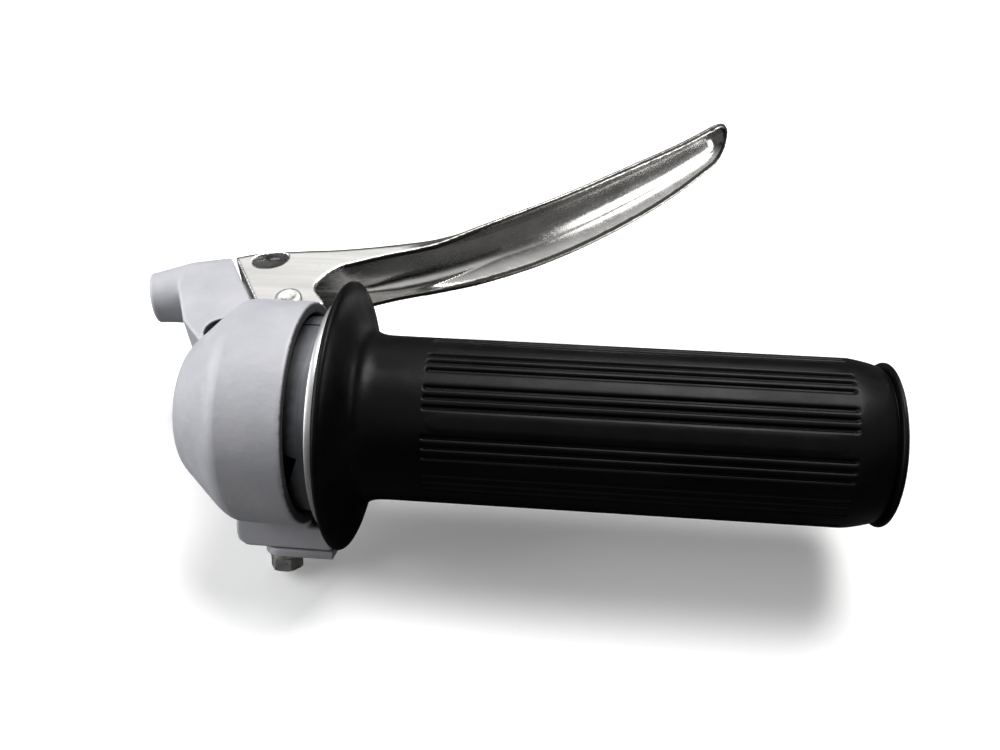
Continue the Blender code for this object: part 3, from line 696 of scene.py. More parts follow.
def mark_painted_shade(obj):
    """Where shade is painted on the casting: its mouth's flat rim, its cavity and the core hole."""
    mesh = obj.data
    co, edges = arrays(mesh)
    normals = np.empty(len(co) * 3)
    mesh.vertices.foreach_get("normal", normals)
    normals = normals.reshape(-1, 3)
    radius = np.hypot(co[:, 1], co[:, 2])
    rim = (co[:, 0] > -0.5) & (radius < 22.35) & (normals[:, 0] > 0.3) & (radius > 12)
    cavity = (radius < 20.5) & (co[:, 0] > -15.6) & (co[:, 0] < 1)
    core = (np.hypot(co[:, 0] + 22.4, co[:, 1] - 15.6) < 3.8) & (co[:, 2] > 1.0) & (co[:, 2] < 7.05)
    # painted shade mask: 1 on the mouth's rim, in the cavity and in the core hole
    painted_shade = (rim | cavity | core).astype(float)[:, None]
    painted_shade = 0.4 * painted_shade + 0.6 * mean_of_neighbours(painted_shade, edges, len(co))
    attribute(obj, "inside", painted_shade[:, 0])


housing = build_housing()
edge_wear(housing, 30.0)
mark_painted_shade(housing)
piece(housing, "housing", ["housing_body"], "cast_paint", CAST, angle=50)


# ----------------------------------------------------------------- grip rubber
def chaikin(points, rounds):
    for _ in range(rounds):
        out = [points[0]]
        for (x0, y0), (x1, y1) in zip(points, points[1:]):
            out.append((0.75 * x0 + 0.25 * x1, 0.75 * y0 + 0.25 * y1))
            out.append((0.25 * x0 + 0.75 * x1, 0.25 * y0 + 0.75 * y1))
        out.append(points[-1])
        points = out
    return points


RIB_X0, RIB_X1 = 24.5, 103.4
PSI_FRONT = 135.0        # world angle of the side that faces the rider and up
GROUPS = (-44.5, -17.5, 15.5, 42.5)
PITCH = 6.7
GROOVE_W, GROOVE_D = 1.5, 0.60


def step(a, b, x):
    t = np.clip((x - a) / (b - a), 0, 1)
    return t * t * (3 - 2 * t)


def groove_angles():
    centres = []
    for base in (-17.5, 15.5):
        for turn in range(6):
            for k in (-1, 0, 1):
                centres.append((PSI_FRONT + base + 60 * turn + k * PITCH) % 360)
    return sorted(centres)


def build_grip():
    outside = [(GRIP_X0, SLEEVE_R + 0.3), (GRIP_X0, 19.0), (GRIP_X0 + 0.02, 22.0)]
    outside += [(6.5, 25.3), (6.7, 26.4), (7.3, 27.05), (8.05, 26.95), (8.7, 25.9), (9.3, 24.2), (9.9, 22.1), (10.5, 20.2)]
    outside += [(11.4, 18.3), (12.6, 17.1), (14.2, 16.6), (16.5, GRIP_R), (20.0, GRIP_R)]
    flange = chaikin(outside, 3)
    stations = list(flange)
    for x in (22.0, 23.4):
        stations.append((x, GRIP_R))
    stations += [(RIB_X0 - 0.9 + 0.15 * k, GRIP_R) for k in range(17)]
    steps = 60
    stations += [(RIB_X0 + 2.2 + (RIB_X1 - RIB_X0 - 4.4) * k / steps, GRIP_R) for k in range(steps + 1)]
    stations += [(RIB_X1 - 1.5 + 0.15 * k, GRIP_R) for k in range(14)]
    end = [(RIB_X1 + 0.8, GRIP_R), (104.9, 16.45), (106.5, 16.2), (108.5, 15.75), (110.0, 15.3), (110.5, 15.1), (110.65, 14.7), (110.9, 14.7)]
    end += [(111.0, 15.2), (111.15, 15.7), (111.5, 15.95), (111.9, 15.95), (112.2, 15.65), (112.45, 14.9), (112.6, 13.6), (112.8, 12.2)]
    end += [(113.1, 10.8), (113.6, 9.9), (113.6, 9.1), (113.45, 8.7), (113.1, 8.3), (112.95, 7.6), (112.9, 3.0), (113.0, 2.0), (113.3, 1.2), (113.35, 0.4)]
    stations += chaikin(end, 3)[1:]
    inside = [(SLEEVE_END_X + 0.4, 0.4), (SLEEVE_END_X + 0.4, SLEEVE_R + 0.3)]

    centres = groove_angles()
    angles = set()
    for c in centres:
        for d in (-1.7, -1.25, -0.95, -0.7, -0.45, -0.2, 0.0, 0.2, 0.45, 0.7, 0.95, 1.25, 1.7):
            angles.add(round((c + d) % 360, 4))
    for k in range(240):
        a = round(k * 1.5 + 0.01, 4) % 360
        if min(abs((a - c + 180) % 360 - 180) for c in centres) > 2.2:
            angles.add(a)
    angles = np.array(sorted(angles))
    nearest = np.min(np.abs((angles[:, None] - np.array(centres)[None] + 180) % 360 - 180), axis=1)
    half = math.degrees(GROOVE_W / 2 / GRIP_R) * 0.62
    groove = 1 - step(half * 0.35, half * 1.25, nearest)
    # wide plain lands between the groups stand slightly proud, with rounded ends
    lands = []
    for turn in range(6):
        lands.append(((PSI_FRONT - 1.0 + 60 * turn) % 360, 6.0))
    pad = np.zeros(len(angles))
    pad_off = np.full(len(angles), 1e3)
    for centre, width in lands:
        off = np.abs((angles - centre + 180) % 360 - 180)
        pad_off = np.minimum(pad_off, off - width)
    rad = np.radians(angles)
    cos, sin = np.cos(rad), np.sin(rad)
    rows = []
    for x, r in stations:
        radius = np.full(len(angles), r)
        if RIB_X0 - 1.0 < x < RIB_X1 + 1.0:
            ends = step(RIB_X0 - 0.35, RIB_X0 + 0.75, x) * (1 - step(RIB_X1 - 0.75, RIB_X1 + 0.35, x))
            radius = radius - GROOVE_D * groove * ends
            # the pad's end is a half circle as seen from outside
            reach = np.clip(-pad_off / 6.0, 0, 1)
            inset = 3.2 * (1 - np.sqrt(np.clip(1 - (1 - reach) ** 2, 0, 1)))
            pad_ends = step(RIB_X0 + 0.4, RIB_X0 + 1.8, x - inset) * (1 - step(RIB_X1 - 3.0, RIB_X1 - 1.6, x + inset))
            radius = radius + 0.16 * step(0.0, 1.3, -pad_off) * pad_ends
        rows.append(np.stack([np.full(len(angles), x), radius * cos, radius * sin], 1))
    for x, r in inside:
        rows.append(np.stack([np.full(len(angles), x), r * cos, r * sin], 1))
    count = len(angles)
    verts = np.concatenate(rows)
    faces = []
    index = np.arange(count)
    nxt = (index + 1) % count
    for k in range(len(rows) - 1):
        faces.append(np.stack([k * count + index, k * count + nxt, (k + 1) * count + nxt, (k + 1) * count + index], 1))
    last = len(rows) - 1
    faces.append(np.stack([last * count + index, last * count + nxt, nxt, index], 1))
    mesh = bpy.data.meshes.new("grip_rubber")
    # caps at the axis are already tiny rings: they are closed across by the end and bore rows
    mesh.from_pydata(verts.tolist(), [], np.concatenate(faces).tolist())
    bm = bmesh.new()
    bm.from_mesh(mesh)
    bmesh.ops.recalc_face_normals(bm, faces=bm.faces)
    bm.to_mesh(mesh)
    bm.free()
    return place("grip_rubber", mesh)


grip = build_grip()
piece(grip, "twist_grip", ["rubber_grip"], "rubber", RUBBER, angle=60)


# --------------------------------------------------------------- drum and ring
SLIDER_PER_RAD = SLIDER_TRAVEL / math.radians(TWIST_DEG)


def helix_cutter(name, half_width, r0, r1, steps=60):
    bm = bmesh.new()
    rows = []
    margin = math.radians(9)
    start = math.atan2(LUG_OUT.z, LUG_OUT.y)
    slope = Vector((SLIDER_PER_RAD, -18.3)).normalized()
    side = Vector((-slope.y, slope.x))
    for k in range(steps + 1):
        a = -margin + (math.radians(TWIST_DEG) + 2 * margin) * k / steps
        x = SLIDER_X + SLIDER_PER_RAD * a
        row = []
        for across, r in ((-1, r0), (1, r0), (1, r1), (-1, r1)):
            px = x + side.x * half_width * across
            angle = start - a + side.y * half_width * across / 18.3
            row.append(bm.verts.new((px, r * math.cos(angle), r * math.sin(angle))))
        rows.append(row)
    bm.faces.new(rows[0])
    bm.faces.new(rows[-1])
    for a, b in zip(rows, rows[1:]):
        for k in range(4):
            j = (k + 1) % 4
            bm.faces.new([a[k], a[j], b[j], b[k]])
    return place(name, finish_mesh(bm, name))


drum = spun(
    "drum_tube",
    [
        (-14.0, 17.0),
        (-14.0, DRUM_TUBE_R - 0.3),
        (-13.7, DRUM_TUBE_R),
        (RING_X0 - 0.6, DRUM_TUBE_R),
        (RING_X0 - 0.3, DRUM_TUBE_R - 0.3),
        (RING_X0 - 0.3, SLEEVE_R + 0.3),
        (-4.0, SLEEVE_R + 0.3),
        (-4.0, 14.6),
        (1.2, 14.6),
        (1.2, 17.0),
    ],
    256,
)
SEAM = math.radians(72.0)
seam_cut = prism(
    "drum_seam_cut",
    [(-15.0, -0.28), (5.0, -0.28), (5.0, 0.28), (-15.0, 0.28)],
    19.2,
    21.0,
    lambda u, v, w: (u, w * math.cos(SEAM) - v * math.sin(SEAM), w * math.sin(SEAM) + v * math.cos(SEAM)),
)
join(drum, [helix_cutter("helical_slot_cut", 2.0, 15.6, 21.0), seam_cut], "DIFFERENCE", "EXACT")
piece(drum, "twist_grip", ["throttle_drum"], "alloy", ALLOY_GREY, angle=30)

ring = spun(
    "ring_turned",
    [
        (RING_X0, SLEEVE_R + 0.3),
        (RING_X1, SLEEVE_R + 0.3),
        (RING_X1, RING_R - 0.35),
        (RING_X1 - 0.08, RING_R - 0.13),
        (RING_X1 - 0.3, RING_R),
        (RING_X0 + 0.3, RING_R),
        (RING_X0 + 0.08, RING_R - 0.13),
        (RING_X0, RING_R - 0.35),
    ],
    256,
)
piece(ring, "twist_grip", ["thrust_ring"], "alloy", ALLOY_LIGHT, angle=50)


# ------------------------------------------------------------- cover and screw
cover = prism(
    "cover_plate",
    arc(SCREW_X, 0, LUG_HALF_W, 90, 270, 40) + [(LUG_X1, -LUG_HALF_W), (LUG_X1, LUG_HALF_W)],
    LUG_BOTTOM + 0.3,
    COVER_BOTTOM,
    lambda u, v, w: in_lug(u, w, v),
)
join(
    cover,
    [spun("cover_clearance_cut", [(26, 0), (26, 2.3), (33, 2.3), (33, 0)], 48, along((SCREW_X, 0, 0), LUG_OUT))],
    "DIFFERENCE",
    "EXACT",
)
soften(cover, 0.28, 3)
piece(cover, "housing", ["slider_cover"], "cast_paint", CAST, angle=40)
attribute(cover, "edge", np.zeros(len(cover.data.vertices)))
# no painted shade on the cover
attribute(cover, "inside", np.zeros(len(cover.data.vertices)))

washer_t = COVER_BOTTOM + 0.3
head_t = washer_t + 0.8 + 0.15


def split_washer(name, at, direction, inner, outer, thick, rise):
    """A spring washer: one turn of square wire with a slit, its ends set apart."""
    bm = bmesh.new()
    turn = along(at, direction)
    rows = []
    steps = 96
    gap = math.radians(9)
    for k in range(steps + 1):
        a = gap / 2 + (2 * math.pi - gap) * k / steps
        lift = rise * (k / steps - 0.5)
        row = []
        for x, r in ((0.06, inner), (0, inner + 0.06), (0, outer - 0.06), (0.06, outer), (thick - 0.06, outer), (thick, outer - 0.06), (thick, inner + 0.06), (thick - 0.06, inner)):
            row.append(bm.verts.new(turn(Vector((x + lift, r * math.cos(a), r * math.sin(a))))))
        rows.append(row)
    bm.faces.new(rows[0])
    bm.faces.new(rows[-1])
    for p, q in zip(rows, rows[1:]):
        for k in range(8):
            j = (k + 1) % 8
            bm.faces.new([p[k], p[j], q[j], q[k]])
    return place(name, finish_mesh(bm, name))


washer = split_washer("spring_washer_split", in_lug(SCREW_X, washer_t, 0), LUG_OUT, 2.4, 3.4, 0.78, 0.10)
piece(washer, "housing", ["cover_spring_washer"], "zinc", ZINC, angle=40)


def hexagon(across_flats, turn=0.0):
    corner = across_flats / math.sqrt(3)
    return [
        (corner * math.cos(math.radians(60 * k + turn)), corner * math.sin(math.radians(60 * k + turn)))
        for k in range(6)
    ]


def thread(x0, x1, major, pitch, depth):
    """The outline of a cut thread, as (x, r) points from x0 to x1."""
    out = []
    x = x0
    while x + pitch <= x1 + 1e-6:
        out += [(x, major - depth), (x + pitch * 0.38, major), (x + pitch * 0.62, major)]
        x += pitch
    out.append((x, major - depth))
    return out


def hex_head(name, at, direction, af, height, turn=0.0, chamfer=0.35, both=False, bore=None):
    """A hexagon whose corners are turned off by a cone, as on a real bolt or nut."""
    place_at = along(at, direction)
    head = prism(name, hexagon(af, turn), 0.0, height, lambda u, v, w: place_at(Vector((w, u, v))))
    corner = af / math.sqrt(3)
    cone = [(0.0 if not both else -0.01, 0), (0.0 if not both else -0.01, corner + (0.5 if not both else -chamfer))]
    if both:
        cone += [(chamfer * 0.58, corner + 0.01)]
    cone += [(height - chamfer * 0.58, corner + (0.5 if not both else 0.01)), (height + 0.01, corner - chamfer), (height + 0.01, 0)]
    if not both:
        cone[-3] = (height - (chamfer + 0.5) * 0.58, corner + 0.5)
    limit = spun(name + "_cone", cone, 96, place_at)
    join(head, [limit], "INTERSECT", "EXACT")
    if bore:
        hole = spun(name + "_hole", [(-1, 0), (-1, bore + 0.5), (0.0, bore + 0.5), (0.5, bore), (height - 0.5, bore), (height, bore + 0.5), (height + 1, bore + 0.5), (height + 1, 0)], 48, place_at)
        join(head, [hole], "DIFFERENCE", "EXACT")
    return soften(head, 0.09, 2, 25)


screw = hex_head("cover_hex_screw", in_lug(SCREW_X, head_t, 0), LUG_OUT, SCREW_AF, 2.7)
shank = spun(
    "screw_shank",
    [(25.6, 0), (25.6, 1.5)] + thread(25.8, head_t - 1.2, 1.95, 0.7, 0.3) + [(head_t - 0.4, 1.8), (head_t + 0.3, 1.8), (head_t + 0.3, 0)],
    48,
    along((SCREW_X, 0, 0), LUG_OUT),
)
join(screw, [shank], "UNION", "EXACT")
piece(screw, "housing", ["cover_screw"], "zinc", ZINC, angle=32)

# handlebar set screw with its socket, and the locknut
set_turn = along((SET_X, 0, 0), SET_DIR)
set_screw = spun(
    "set_screw_socket",
    [(11.5, 0), (11.5, 1.7), (12.0, 2.15)] + thread(12.1, 24.1, 2.5, 0.8, 0.32) + [(24.3, 2.15), (24.6, 1.9), (24.6, 0)],
    48,
    set_turn,
)
join(
    set_screw,
    [prism("socket_cut", hexagon(2.5), 21.8, 26.0, lambda u, v, w: set_turn(Vector((w, u, v))))],
    "DIFFERENCE",
    "EXACT",
)
piece(set_screw, "housing", ["handlebar_set_screw"], "zinc", ZINC, angle=32)
locknut = hex_head(
    "locknut_hex", Vector((SET_X, 0, 0)) + SET_DIR * (SET_BOSS_TOP + 0.3), SET_DIR, 7.0, 2.4, both=True, bore=2.8
)
piece(locknut, "housing", ["set_screw_locknut"], "zinc", ZINC, angle=32)


# ----------------------------------------------------------------- brake lever
def smooth(a, b, x):
    t = min(1.0, max(0.0, (x - a) / (b - a)))
    return t * t * (3 - 2 * t)


def through(points, x):
    n = len(points)
    slopes = [(points[i + 1][1] - points[i][1]) / (points[i + 1][0] - points[i][0]) for i in range(n - 1)]
    tangents = [slopes[0]] + [(slopes[i - 1] + slopes[i]) / 2 for i in range(1, n - 1)] + [slopes[-1]]
    i = 0
    while i < n - 2 and x > points[i + 1][0]:
        i += 1
    (x0, y0), (x1, y1) = points[i], points[i + 1]
    w = x1 - x0
    t = (x - x0) / w
    return (
        (2 * t**3 - 3 * t**2 + 1) * y0
        + (t**3 - 2 * t**2 + t) * w * tangents[i]
        + (-2 * t**3 + 3 * t**2) * y1
        + (t**3 - t**2) * w * tangents[i + 1]
    )


RIM = [(-1.7, 38.6), (8.0, 43.2), (19.0, 47.7), (28.4, 53.2), (47.0, 66.0), (67.0, 83.5), (78.0, 94.7), (87.0, 105.4), (92.0, 111.4)]
HALF_HEIGHT = [(-40, 7.2), (12, 7.2), (19, 7.5), (28.4, 8.7), (47, 9.6), (67, 9.2), (78, 8.2), (87, 7.3), (95, 7.3)]
DEPTH = [(-1.7, 8.0), (10, 6.0), (19, 5.7), (47, 5.6), (67, 5.4), (78, 4.9), (87, 4.2), (95, 4.0)]
WEB = [(-34, 38.9), (-27.5, 41.2), (-22.5, 43.1), (-12.0, 44.9), (-0.6, 46.6), (10.0, 50.2)]
WEB_LINE = [(-34, 40.2), (-27.5, 41.3), (-12.0, 44.2), (-0.6, 46.2), (10.0, 50.2)]   # sets the flanges' direction
TIP_R = 7.2


def lever_section(f, h, ru, rw, dish, flange_n, arc_n, web_n):
    half = []
    for k in range(flange_n):
        half.append((f + (ru - f) * k / flange_n, h))
    for k in range(arc_n):
        a = math.radians(90 * k / arc_n)
        half.append((ru - ru * math.sin(a), h - rw + rw * math.cos(a)))
    for k in range(web_n):
        half.append((0.0, (h - rw) * (1 - k / web_n)))
    radius = (h * h + f * f) / (2 * max(f, 0.01))
    sweep = 2 * math.atan2(f, h)
    for k, (u, w) in enumerate(half):
        b = sweep * (1 - k / len(half))
        half[k] = (
            u + (radius * (1 - math.cos(b)) - u) * dish,
            w + (radius * math.sin(b) - w) * dish,
        )
    return half + [(0.0, 0.0)] + [(u, -w) for u, w in reversed(half)]


def lever_stations(plate_n, blade_n, tip_n):
    found = []
    x_join = 12.0
    for k in range(plate_n):
        x = -33.0 + (x_join - 2.6 + 33.0) * k / plate_n
        slope = (through(WEB_LINE, x + 0.2) - through(WEB_LINE, x - 0.2)) / 0.4
        direction = Vector((slope, -1, 0)).normalized()
        mix = smooth(-2.0, 12.0, x)
        depth = (1 - smooth(-4.0, 10.0, x)) * 24.0 + smooth(-4.0, 10.0, x) * 6.0
        found.append((Vector((x, through(WEB, x), 0)), direction, depth, 7.2, 2.6 + mix * 1.6, 2.6 + mix * 2.2, 0.0))
    end_x = 87.0
    for k in range(blade_n):
        x = x_join + (end_x - x_join) * k / blade_n
        slope = (through(RIM, x + 0.2) - through(RIM, x - 0.2)) / 0.4
        direction = Vector((slope, -1, 0)).normalized()
        f, h = through(DEPTH, x), through(HALF_HEIGHT, x)
        mix = smooth(8.0, 34.0, x)
        found.append(
            (
                Vector((x, through(RIM, x), 0)) - direction * f,
                direction,
                f,
                h,
                f * (0.70 + 0.2 * mix),
                h * (0.62 + 0.30 * mix),
                0.9 * smooth(9.0, 36.0, x),
            )
        )
    slope = (through(RIM, end_x) - through(RIM, end_x - 0.4)) / 0.4
    tangent = Vector((1, slope, 0)).normalized()
    direction = Vector((slope, -1, 0)).normalized()
    start = Vector((end_x, through(RIM, end_x), 0))
    for k in range(tip_n):
        a = math.radians(90 * k / tip_n)
        f, h = 4.2 * math.cos(a), TIP_R * math.cos(a)
        found.append((start + tangent * TIP_R * math.sin(a) - direction * f, direction, f, h, f * 0.9, h * 0.92, 0.9))
    return found, start + tangent * TIP_R


def build_lever():
    bm = bmesh.new()
    fine = 2
    stations, tip = lever_stations(45 * fine, 75 * fine, 14 * fine)
    rows = []
    for at, direction, f, h, ru, rw, dish in stations:
        rows.append(
            [
                bm.verts.new(at + direction * u + Vector((0, 0, w)))
                for u, w in lever_section(f, h, ru, rw, dish, 14 * fine, 8 * fine, 5 * fine)
            ]
        )
    for a, b in zip(rows, rows[1:]):
        for k in range(len(a) - 1):
            bm.faces.new([a[k], b[k], b[k + 1], a[k + 1]])
    last = bm.verts.new(tip)
    for k in range(len(rows[-1]) - 1):
        bm.faces.new([rows[-1][k], last, rows[-1][k + 1]])
    bm.normal_update()
    mesh = bpy.data.meshes.new("lever_pressing")
    bm.to_mesh(mesh)
    bm.free()
    lever = place("lever_pressing", mesh)
    solidify = lever.modifiers.new("sheet", "SOLIDIFY")
    solidify.thickness = SHEET
    solidify.offset = -1.0
    solidify.use_even_offset = True
    solidify.use_quality_normals = True
    settle(lever)
    edge = Vector((-gap_dir.y, gap_dir.x, 0)) * LEVER_GAP
    cutters = [
        prism(
            "plate_end_cut",
            [
                (GAP_TOP[0] - 12 * gap_dir.x + edge.x, GAP_TOP[1] - 12 * gap_dir.y + edge.y),
                (GAP_BOTTOM[0] + 9 * gap_dir.x + edge.x, GAP_BOTTOM[1] + 9 * gap_dir.y + edge.y),
                (-45.0, 10.0),
                (-45.0, 52.0),
            ],
            -14.0,
            14.0,
        ),
        prism(
            "throat_cut",
            [(-40.0, 5.0), (-40.0, 22.9), (-14.6, 22.9)]
            + arc(PIVOT[0], PIVOT[1], 4.5, 232, 300, 12)
            + chaikin([(-3.6, 24.8), (-2.4, 25.8), (-4.2, 28.0), (-5.8, 30.2), (-6.0, 32.3), (-4.5, 35.5), (-1.7, 38.6)], 2)
            + [(0.8 * k, through(RIM, 0.8 * k)) for k in range(1, 18)]
            + [(18.0, 46.2), (22.0, 40.0), (22.0, 5.0)],
            -14.0,
            14.0,
        ),
        spun("lever_pivot_cut", [(-12, 0), (-12, 2.5), (12, 2.5), (12, 0)], 64, along((*PIVOT, 0), (0, 0, 1))),
    ]
    for name, low, high in (("nipple_hole_top_cut", 4.9, 12.0), ("nipple_hole_low_cut", -12.0, -4.9)):
        turn = math.radians(22)
        cutters.append(
            prism(
                name,
                [
                    (
                        NIPPLE[0] + u * math.cos(turn) - v * math.sin(turn),
                        NIPPLE[1] + u * math.sin(turn) + v * math.cos(turn),
                    )
                    for u, v in circle(0, 0, 4.05, 64, 3.05)
                ],
                low,
                high,
            )
        )
    join(lever, cutters, "DIFFERENCE")
    remesh(lever, 0.26)
    relax(lever, edge_rounds=3, all_rounds=3, grow=1)
    sink(lever, Vector((86.8, 108.8, 1.2)), Vector((0.15, 0.75, -0.64)).normalized(), 2.0, 0.6)
    return lever


def sink(obj, at, inward, radius, depth):
    """A small round dent in the surface that faces against inward."""
    co, _ = arrays(obj.data)
    normals = np.empty(len(co) * 3)
    obj.data.vertices.foreach_get("normal", normals)
    normals = normals.reshape(-1, 3)
    offset = co - np.array(at)
    run = offset @ np.array(inward)
    aside = np.linalg.norm(offset - run[:, None] * np.array(inward), axis=1)
    fall = np.clip(1 - aside / radius, 0, 1)
    fall = fall * fall * (3 - 2 * fall) * (np.abs(run) < 8) * (normals @ np.array(inward) < -0.2)
    co = co - normals * (depth * fall)[:, None]
    obj.data.vertices.foreach_set("co", co.ravel())
    obj.data.update()


def mark_rim(obj):
    """Marks the sheared edge of the sheet: near the open edge in plan and facing the grip."""
    co, _ = arrays(obj.data)
    normals = np.empty(len(co) * 3)
    obj.data.vertices.foreach_get("normal", normals)
    normals = normals.reshape(-1, 3)
    xs = np.linspace(-1.7, 92.5, 700)
    ys = np.array([through(RIM, x) for x in xs])
    y = np.interp(co[:, 0], xs, ys)
    slope = np.interp(co[:, 0], xs, np.gradient(ys, xs))
    down = (y - co[:, 1]) / np.sqrt(1 + slope**2)
    facing = normals @ np.array([0.0, 0.0, 0.0]) + (normals[:, 0] * slope - normals[:, 1]) / np.sqrt(1 + slope**2)
    rim = (np.abs(down) < 0.42) & (facing > 0.35) & (co[:, 0] > -1.0)
    values = rim.astype(float)[:, None]
    _, edges = arrays(obj.data)
    for _ in range(1):
        values = 0.5 * values + 0.5 * mean_of_neighbours(values, edges, len(values))
    attribute(obj, "rim", values[:, 0])


lever = build_lever()
mark_rim(lever)
piece(lever, "lever", ["brake_lever"], "bright_steel", STEEL, angle=55)

rivet = spun(
    "pivot_rivet_peened",
    [
        (-9.3, 0),
        (-9.3, 2.4),
        (-9.1, 3.0),
        (-8.7, 3.6),
        (-8.2, 3.95),
        (-7.7, 4.15),
        (-7.5, 4.1),
        (-7.5, 2.2),
        (7.5, 2.2),
        (7.5, 2.8),
        (7.62, 2.9),
        (7.85, 2.8),
        (8.05, 2.4),
        (8.1, 1.9),
        (8.02, 1.5),
        (7.8, 1.1),
        (7.72, 0.6),
        (7.7, 0),
    ],
    64,
    along((*PIVOT, 0), (0, 0, 1)),
)
piece(rivet, "lever", ["lever_pivot_rivet"], "bright_steel", ZINC, angle=60)

# --------------------------------------------------- carried-over frame nodes
for node, made in {
    "throttle_sleeve": STEEL,
    "cable_slider": BRASS,
    "slider_peg": STEEL,
    "throttle_cable_stop": BRASS,
    "drum_thrust_washer": FIBRE,
    "lever_pivot_bush": BRASS,
    "upper_pivot_shim": ZINC,
    "lower_pivot_shim": ZINC,
}.items():
    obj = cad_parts[node]
    if obj.data.materials:
        for k in range(len(obj.data.materials)):
            obj.data.materials[k] = made
    else:
        obj.data.materials.append(made)


# ------------------------------------------------------------------ the stage
def light(name, location, target, size, power, colour=(1, 1, 1), size_y=None):
    data = bpy.data.lights.new(name, "AREA")
    data.energy = power
    data.color = colour
    data.shape = "RECTANGLE"
    data.size = size
    data.size_y = size_y or size
    obj = bpy.data.objects.new(name, data)
    obj.location = DATUM @ Vector(location)
    obj.rotation_euler = (Vector(target) - Vector(location)).to_track_quat("-Z", "Y").to_euler()
    bpy.context.scene.collection.objects.link(obj)
    return obj


low = min(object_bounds()[0][2], cad_box[0][2])
floor_mesh = bpy.data.meshes.new("floor")
bm = bmesh.new()
bmesh.ops.create_grid(bm, x_segments=8, y_segments=8, size=3.0)
bm.to_mesh(floor_mesh)
bm.free()
floor = place("floor", floor_mesh)
floor.location = (-GRIP_X1 * MM, 0, low - 0.0002)


def white_table():
    """A bright white table, kept from throwing too much light back up."""
    made = bpy.data.materials.new("white_table")
    made.use_nodes = True
    tree = made.node_tree
    tree.nodes.clear()
    out = tree.nodes.new("ShaderNodeOutputMaterial")
    path = tree.nodes.new("ShaderNodeLightPath")
    coord = tree.nodes.new("ShaderNodeTexCoord")
    cloud = tree.nodes.new("ShaderNodeTexNoise")
    cloud.inputs["Scale"].default_value = 6.0
    tree.links.new(coord.outputs["Object"], cloud.inputs["Vector"])
    tone = tree.nodes.new("ShaderNodeMapRange")
    tone.inputs["To Min"].default_value = 0.90
    tone.inputs["To Max"].default_value = 0.93
    tree.links.new(cloud.outputs["Fac"], tone.inputs["Value"])
    seen = tree.nodes.new("ShaderNodeBsdfDiffuse")
    tree.links.new(tone.outputs[0], seen.inputs["Color"])
    glow = tree.nodes.new("ShaderNodeEmission")
    glow.inputs["Strength"].default_value = FLOOR_GLOW
    plus = tree.nodes.new("ShaderNodeAddShader")
    tree.links.new(seen.outputs[0], plus.inputs[0])
    tree.links.new(glow.outputs[0], plus.inputs[1])
    mirrored = tree.nodes.new("ShaderNodeBsdfDiffuse")
    mirrored.inputs["Color"].default_value = (FLOOR_MIRRORED,) * 3 + (1,)
    dim = tree.nodes.new("ShaderNodeBsdfDiffuse")
    dim.inputs["Color"].default_value = (FLOOR_BOUNCE,) * 3 + (1,)
    first = tree.nodes.new("ShaderNodeMixShader")
    tree.links.new(path.outputs["Is Glossy Ray"], first.inputs[0])
    tree.links.new(dim.outputs[0], first.inputs[1])
    tree.links.new(mirrored.outputs[0], first.inputs[2])
    second = tree.nodes.new("ShaderNodeMixShader")
    tree.links.new(path.outputs["Is Camera Ray"], second.inputs[0])
    tree.links.new(first.outputs[0], second.inputs[1])
    tree.links.new(plus.outputs[0], second.inputs[2])
    tree.links.new(second.outputs[0], out.inputs["Surface"])
    return made


FLOOR_GLOW, FLOOR_MIRRORED, FLOOR_BOUNCE = 0.20, 0.07, 0.27
floor.data.materials.append(white_table())

# dim all round for matt surfaces, with a grey ceiling that only shows in reflections
scene = bpy.context.scene
world = bpy.data.worlds.new("studio")
scene.world = world
world.use_nodes = True
nodes, links = world.node_tree.nodes, world.node_tree.links
background = nodes["Background"]
coord = nodes.new("ShaderNodeTexCoord")
split = nodes.new("ShaderNodeSeparateXYZ")
links.new(coord.outputs["Generated"], split.inputs[0])
ceiling = nodes.new("ShaderNodeMapRange")
ceiling.interpolation_type = "SMOOTHSTEP"
ceiling.inputs["From Min"].default_value = 0.25
ceiling.inputs["From Max"].default_value = 0.75
ceiling.inputs["To Min"].default_value = 0.05
ceiling.inputs["To Max"].default_value = 0.62
links.new(split.outputs["Z"], ceiling.inputs["Value"])
path = nodes.new("ShaderNodeLightPath")
pick = nodes.new("ShaderNodeMix")
pick.data_type = "FLOAT"
pick.inputs[2].default_value = 0.07
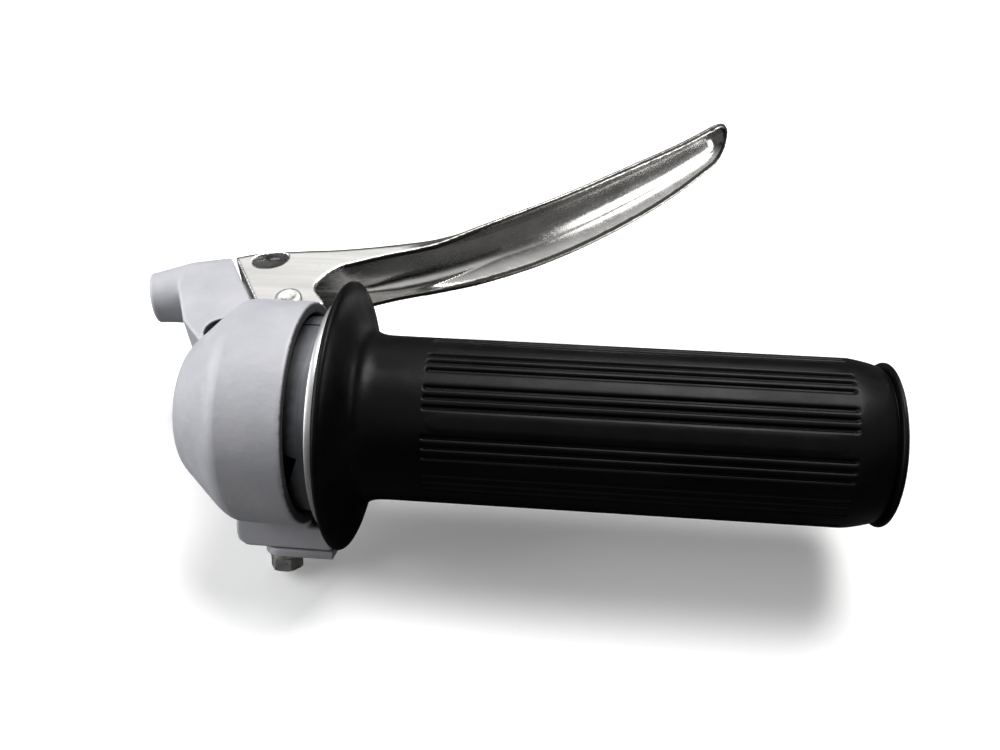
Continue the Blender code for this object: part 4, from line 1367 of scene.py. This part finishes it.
links.new(path.outputs["Is Glossy Ray"], pick.inputs[0])
links.new(ceiling.outputs[0], pick.inputs[3])
links.new(pick.outputs[0], background.inputs["Strength"])
background.inputs["Color"].default_value = (1.0, 1.0, 1.0, 1)


def panel(name, location, target, size, size_y, radiance):
    """A pale surface of the room that only shows in reflections."""
    obj = light(name, location, target, size, radiance * math.pi * size * size_y, size_y=size_y)
    obj.visible_diffuse = False
    obj.visible_camera = False
    return obj


light("key", (0.18, 0.23, 0.66), (0.03, 0.01, 0.0), 0.40, 7.2, (1.0, 0.995, 0.985))
light("left_fill", (-0.55, -0.03, 0.24), (-0.01, 0.01, 0.0), 0.55, 4.8, (0.985, 0.99, 1.0))
panel("window_right", (0.250, 0.083, 0.014), (0.07, 0.090, 0.004), 0.15, 0.088, 5.0)
panel("wall_behind", (0.02, 0.75, 0.62), (0.0, 0.04, 0.0), 1.2, 0.62, 0.62)

# the camera, from its own axes in the part's frame
YAW, ROLL, TILT = math.radians(4.3), math.radians(-3.0), math.radians(45)
ex = Vector((math.cos(YAW) * math.cos(ROLL), math.cos(YAW) * math.sin(ROLL), math.sin(YAW)))
e2 = Vector((0, 1, 0))
e2 = (e2 - ex * e2.dot(ex)).normalized()
e3 = ex.cross(e2)
world_y = math.sin(TILT) * e2 - math.cos(TILT) * e3
world_z = math.cos(TILT) * e2 + math.sin(TILT) * e3
to_camera = Matrix(((ex.x, world_y.x, world_z.x), (ex.y, world_y.y, world_z.y), (ex.z, world_y.z, world_z.z)))
seat = to_camera.transposed() @ Vector((0, 9.65, 188.0)) + Vector((38.0, 0, 0))
camera_data = bpy.data.cameras.new("camera")
camera_data.sensor_width = 36.0
camera_data.lens = 36.0 * 0.940
camera_data.clip_start = 0.005
camera_data.clip_end = 50.0
camera = bpy.data.objects.new("camera", camera_data)
scene.collection.objects.link(camera)
camera.matrix_world = DATUM @ Matrix.Translation(seat * MM) @ to_camera.transposed().to_4x4()
scene.camera = camera
scene.view_settings.view_transform = "Standard"
